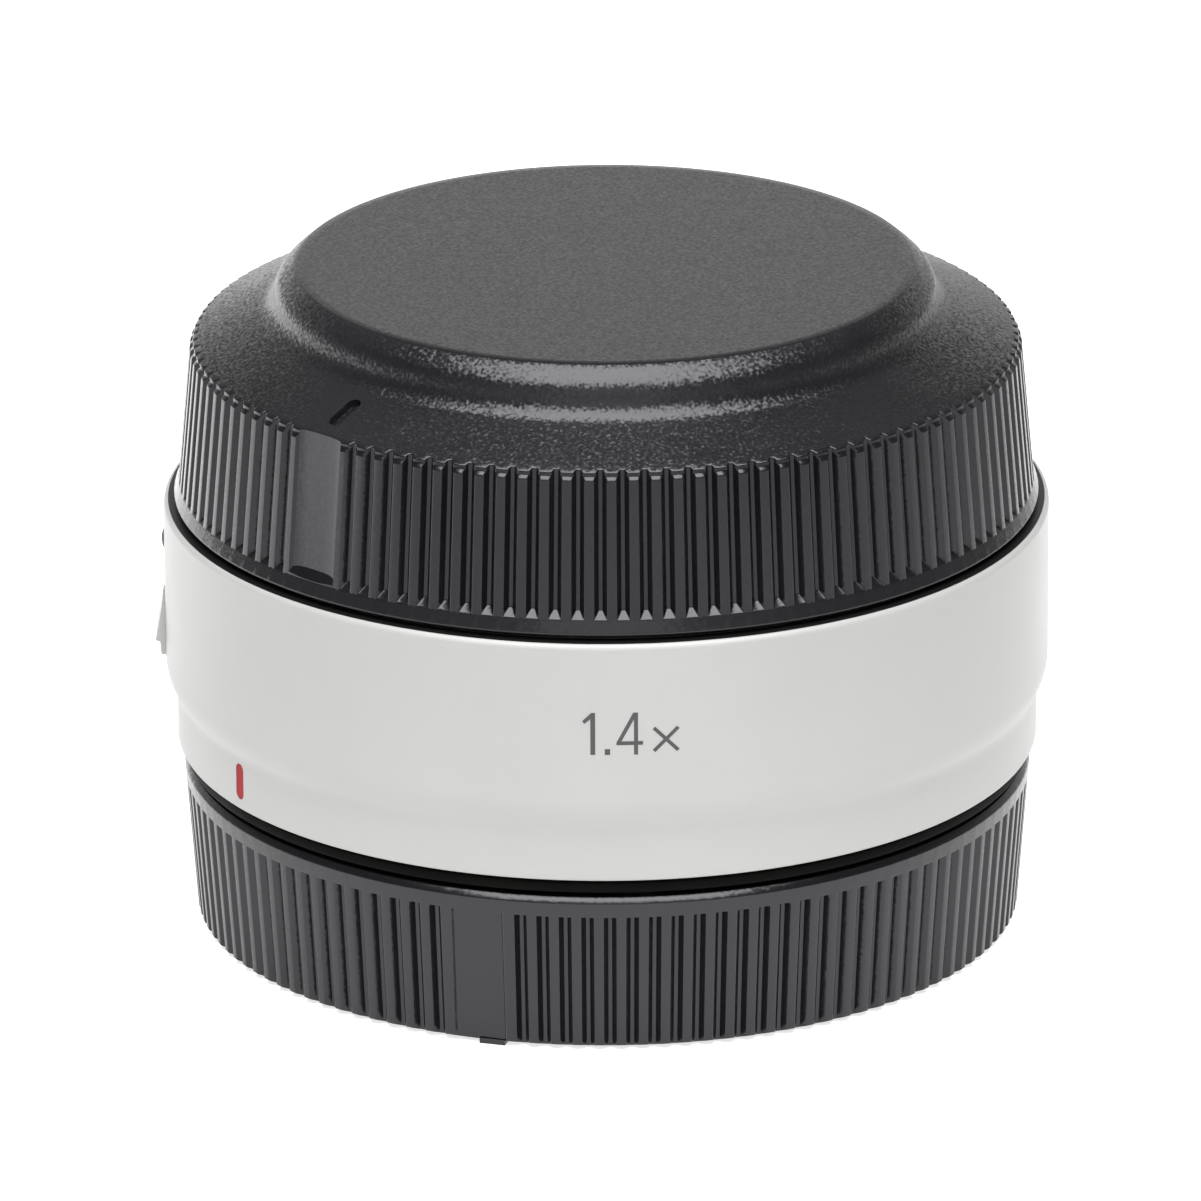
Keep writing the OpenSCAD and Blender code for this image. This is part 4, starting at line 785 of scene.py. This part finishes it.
# Front cap: the black domed cap over the lens side, moulded in one piece. Its dome clears the
# lens tube, a hollow curve leads down to a sloping shoulder, and the ribbed skirt has a sunk
# thumb flat with an index dash above it. A bayonet tube inside holds it on.
front_pad_az = math.radians(227.2)
front_lean = math.atan(1.02 / 11.15)
shoulder = math.radians(22.8)
front_foot_r, front_foot_z = 34.35, 36.65
edge_r, edge_z = 33.05, 48.38
front_rows = [
    (34.5, 35.36, 34.5, 35.36, half_mouth, half_mouth),
    (34.7, 35.43, 34.7, 35.43, half_mouth, half_mouth),
    (34.75, 35.6, 34.75, 35.6, half_mouth, half_mouth),
    (front_foot_r, front_foot_z, front_foot_r, front_foot_z, half_mouth, half_mouth),
    (34.295, 37.25, 33.69, 37.25, half_mouth, half_floor),
    (33.33, 47.8, 32.73, 47.8, half_mouth, half_floor),
    (edge_r, 48.08, 32.7, 48.08, 0.37, half_floor),
    (edge_r, edge_z, 32.68, edge_z, 0.38, half_floor),
    (32.66, 48.544, 32.66, 48.544, half_floor, half_floor),
    (32.2, 48.737, 32.2, 48.737, half_floor, half_floor)]
front_cap = ribbed_skirt("ribbed_front_cap", front_rows, front_pad_az)
pick_rim(front_cap, lambda p: p.z > 48)
dome = [(32.2, 48.737), (29.9, 49.704)] + bow((28.71, 52.59), 2.2, 247.2, 192, 12)
dome += [(26.52, 52.3), (26.42, 52.7), (26.25, 53.1), (26.0, 53.44), (25.65, 53.78), (25.25, 54.12)]
dome += [(24.9, 54.42), (24.7, 54.48), (24.0, 54.48)]
draw_rings(dome)
bpy.ops.mesh.edge_face_add()
pick_rim(front_cap, lambda p: p.z < 35.4)
draw_rings([
    (34.5, 35.36), (32.75, 35.36), (31.05, 47.268), (25.9, 49.433), (25.9, 36.5), (28.3, 36.5),
    (28.3, 35.12), (25.4, 35.12), (25.4, 30.5), (25.2, 30.3), (24.1, 30.3), (23.9, 30.5), (23.9, 51.68),
    (22.9, 52.68), (22, 52.68)])
bpy.ops.mesh.edge_face_add()
close_mesh(front_cap)
ease(front_cap, rib_ease, rib_ease_angle)
for lug_az in (30, 150, 270):
    combine(front_cap, sector(25.0, 26.8, 31.6, 33.0, lug_az, 26), "UNION")
pad_half = [(2, 2.62), (-0.04, 2.46), (-0.1, 2.4), (-0.34, 2.2), (-0.42, 1.7), (-0.45, 0.9)]
pad_cut = bar(pad_half, -1, 14)
bpy.ops.object.mode_set(mode="EDIT")
bpy.ops.mesh.select_all(action="SELECT")
bpy.ops.mesh.bisect(plane_co=(0, 0, 0.05 * mm), plane_no=(0.75, 0, 0.42), use_fill=True, clear_inner=True)
close_mesh(pad_cut)
seat(pad_cut, front_pad_az, -front_lean, (front_foot_r, 0, front_foot_z))
combine(front_cap, pad_cut, "DIFFERENCE")
dash_length, dash_from_edge = 3.3, 1.5
dash = oblong(dash_length, width=1.25, depth=1.1)
dash.location = (-(dash_from_edge + dash_length / 2) * mm, 0, 0)
bpy.ops.object.transform_apply()
combine(front_cap, seat(dash, front_pad_az, shoulder, (edge_r, 0, edge_z)), "DIFFERENCE")
foot_edge_angle = 5
crisp(front_cap, lambda p: abs(p.z - front_foot_z) < 0.1, foot_edge_angle)
crisp(front_cap, lambda p: at_pad(p, front_pad_az) and 36 < p.z < 48, pad_edge_angle)
polish(front_cap)
front_cap.data.materials.append(cap_plastic)
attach(front_cap, "front_cap")
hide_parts("front_cap")

# Studio: a pale floor that runs out of sight, a bright surround, and the camera at the
# photograph's distance and angle.
# The floor glows with painted light: a pool of light round the object that fades out within about 22 cm, and
# a glow that grows towards the sides and the back, stronger on the left, which is left out of diffuse rays
# so that it shows to the camera and in reflections.
bpy.ops.object.select_all(action="DESELECT")
bpy.ops.mesh.primitive_plane_add(size=12)
floor = bpy.context.object
floor.name = "studio_floor"
floor_paint, tree, shader = new_material(
    "studio_floor", Base_Color=(0.6, 0.6, 0.6, 1), Roughness=0.7, Emission_Color=(1, 1, 1, 1))
place = add(tree, "ShaderNodeTexCoord")
axes = add(tree, "ShaderNodeSeparateXYZ")
beside = add(tree, "ShaderNodeMath", operation="ABSOLUTE")
behind = add(tree, "ShaderNodeMath", operation="ADD")
# Painted glow, stronger on the left side of the floor than on the right.
painted_side_glow = add(tree, "ShaderNodeMapRange")
preset(painted_side_glow, From_Min=-0.2, From_Max=0.2, To_Min=1.5, To_Max=0.1)
painted_far_glow = add(tree, "ShaderNodeMapRange", interpolation_type="SMOOTHSTEP")
preset(painted_far_glow, From_Min=0.07, From_Max=0.22)
reach = add(tree, "ShaderNodeVectorMath", operation="LENGTH")
# Painted pool of light round the object.
painted_light_pool = add(tree, "ShaderNodeMapRange", interpolation_type="SMOOTHSTEP")
preset(painted_light_pool, From_Min=0.06, From_Max=0.22, To_Min=0.72, To_Max=0.0)
path = add(tree, "ShaderNodeLightPath")
# The painted side and back glow is left out of diffuse rays: it is meant to show to the camera and in
# reflections.
mirrored = add(tree, "ShaderNodeMath", operation="SUBTRACT")
mirrored.inputs[0].default_value = 1.0
glow = add(tree, "ShaderNodeMath", operation="MULTIPLY_ADD")
tree.links.new(place.outputs["Object"], axes.inputs[0])
tree.links.new(axes.outputs["X"], beside.inputs[0])
tree.links.new(axes.outputs["X"], painted_side_glow.inputs["Value"])
tree.links.new(beside.outputs[0], behind.inputs[0])
tree.links.new(axes.outputs["Y"], behind.inputs[1])
tree.links.new(behind.outputs[0], painted_far_glow.inputs["Value"])
tree.links.new(painted_side_glow.outputs["Result"], painted_far_glow.inputs["To Max"])
tree.links.new(place.outputs["Object"], reach.inputs[0])
tree.links.new(reach.outputs["Value"], painted_light_pool.inputs["Value"])
tree.links.new(painted_far_glow.outputs["Result"], glow.inputs[0])
tree.links.new(path.outputs["Is Diffuse Ray"], mirrored.inputs[1])
tree.links.new(mirrored.outputs[0], glow.inputs[1])
tree.links.new(painted_light_pool.outputs["Result"], glow.inputs[2])
tree.links.new(glow.outputs[0], shader.inputs["Emission Strength"])
floor.data.materials.append(floor_paint)
world = bpy.data.worlds.new("studio_surround")
bpy.context.scene.world = world
world.use_nodes = True
sky = world.node_tree
surround = sky.nodes["Background"]
preset(surround, Color=(1, 1, 1, 1))
direction = add(sky, "ShaderNodeTexCoord")
heading = add(sky, "ShaderNodeSeparateXYZ")
level = add(sky, "ShaderNodeMapRange", interpolation_type="SMOOTHSTEP")
preset(level, From_Min=0.12, From_Max=0.55, To_Min=1.0, To_Max=0.28)
across = add(sky, "ShaderNodeMath", operation="MULTIPLY")
sides = add(sky, "ShaderNodeMapRange")
preset(sides, From_Max=0.8, To_Min=1.0, To_Max=0.38)
strength = add(sky, "ShaderNodeMath", operation="MULTIPLY")
sky.links.new(direction.outputs["Generated"], heading.inputs[0])
sky.links.new(heading.outputs["Z"], level.inputs["Value"])
sky.links.new(heading.outputs["X"], across.inputs[0])
sky.links.new(heading.outputs["X"], across.inputs[1])
sky.links.new(across.outputs[0], sides.inputs["Value"])
sky.links.new(level.outputs["Result"], strength.inputs[0])
sky.links.new(sides.outputs["Result"], strength.inputs[1])
sky.links.new(strength.outputs[0], surround.inputs["Strength"])
bpy.context.scene.view_settings.view_transform = "Standard"


def softbox(name, place, size, power):
    """A rectangular lamp that faces the object."""
    bpy.ops.object.light_add(type="AREA", location=place)
    lamp = bpy.context.object
    lamp.name = name
    lamp.data.shape = "RECTANGLE"
    lamp.data.size, lamp.data.size_y = size
    lamp.data.energy = power
    lamp.rotation_euler = (Vector((0, 0, 0.03)) - Vector(place)).to_track_quat("-Z", "Y").to_euler()


softbox("overhead_strip", (0, -0.29, 0.9), (1.0, 0.9), 19.8)
softbox("front_fill", (0, -1.5, 0.65), (1.0, 0.5), 1.2)

# Camera: its focal length and shift are in pixels of a picture 1201 wide
image_width, sensor_width = 1201, 36
focal, shift_right, shift_up, roll = 13252.4, -6.22, -109.1, 0.0037
distance, aim_height = 1.0656, 0.035
rise = math.radians(19.74)
ahead = Vector((0, math.cos(rise), -math.sin(rise)))
up = Vector((0, math.sin(rise), math.cos(rise)))
right = Vector((1, 0, 0))
look = (ahead * focal + right * shift_right + up * shift_up).normalized()
upright = (up + right * roll).normalized()
side = look.cross(upright).normalized()
top = side.cross(look)
bpy.ops.object.camera_add(location=Vector((0, 0, aim_height)) - ahead * distance)
camera = bpy.context.object
camera.rotation_euler = Matrix((side, top, -look)).transposed().to_euler()
camera.data.lens = sensor_width * focal / image_width
camera.data.sensor_width = sensor_width
camera.data.clip_end = 50
bpy.context.scene.camera = camera
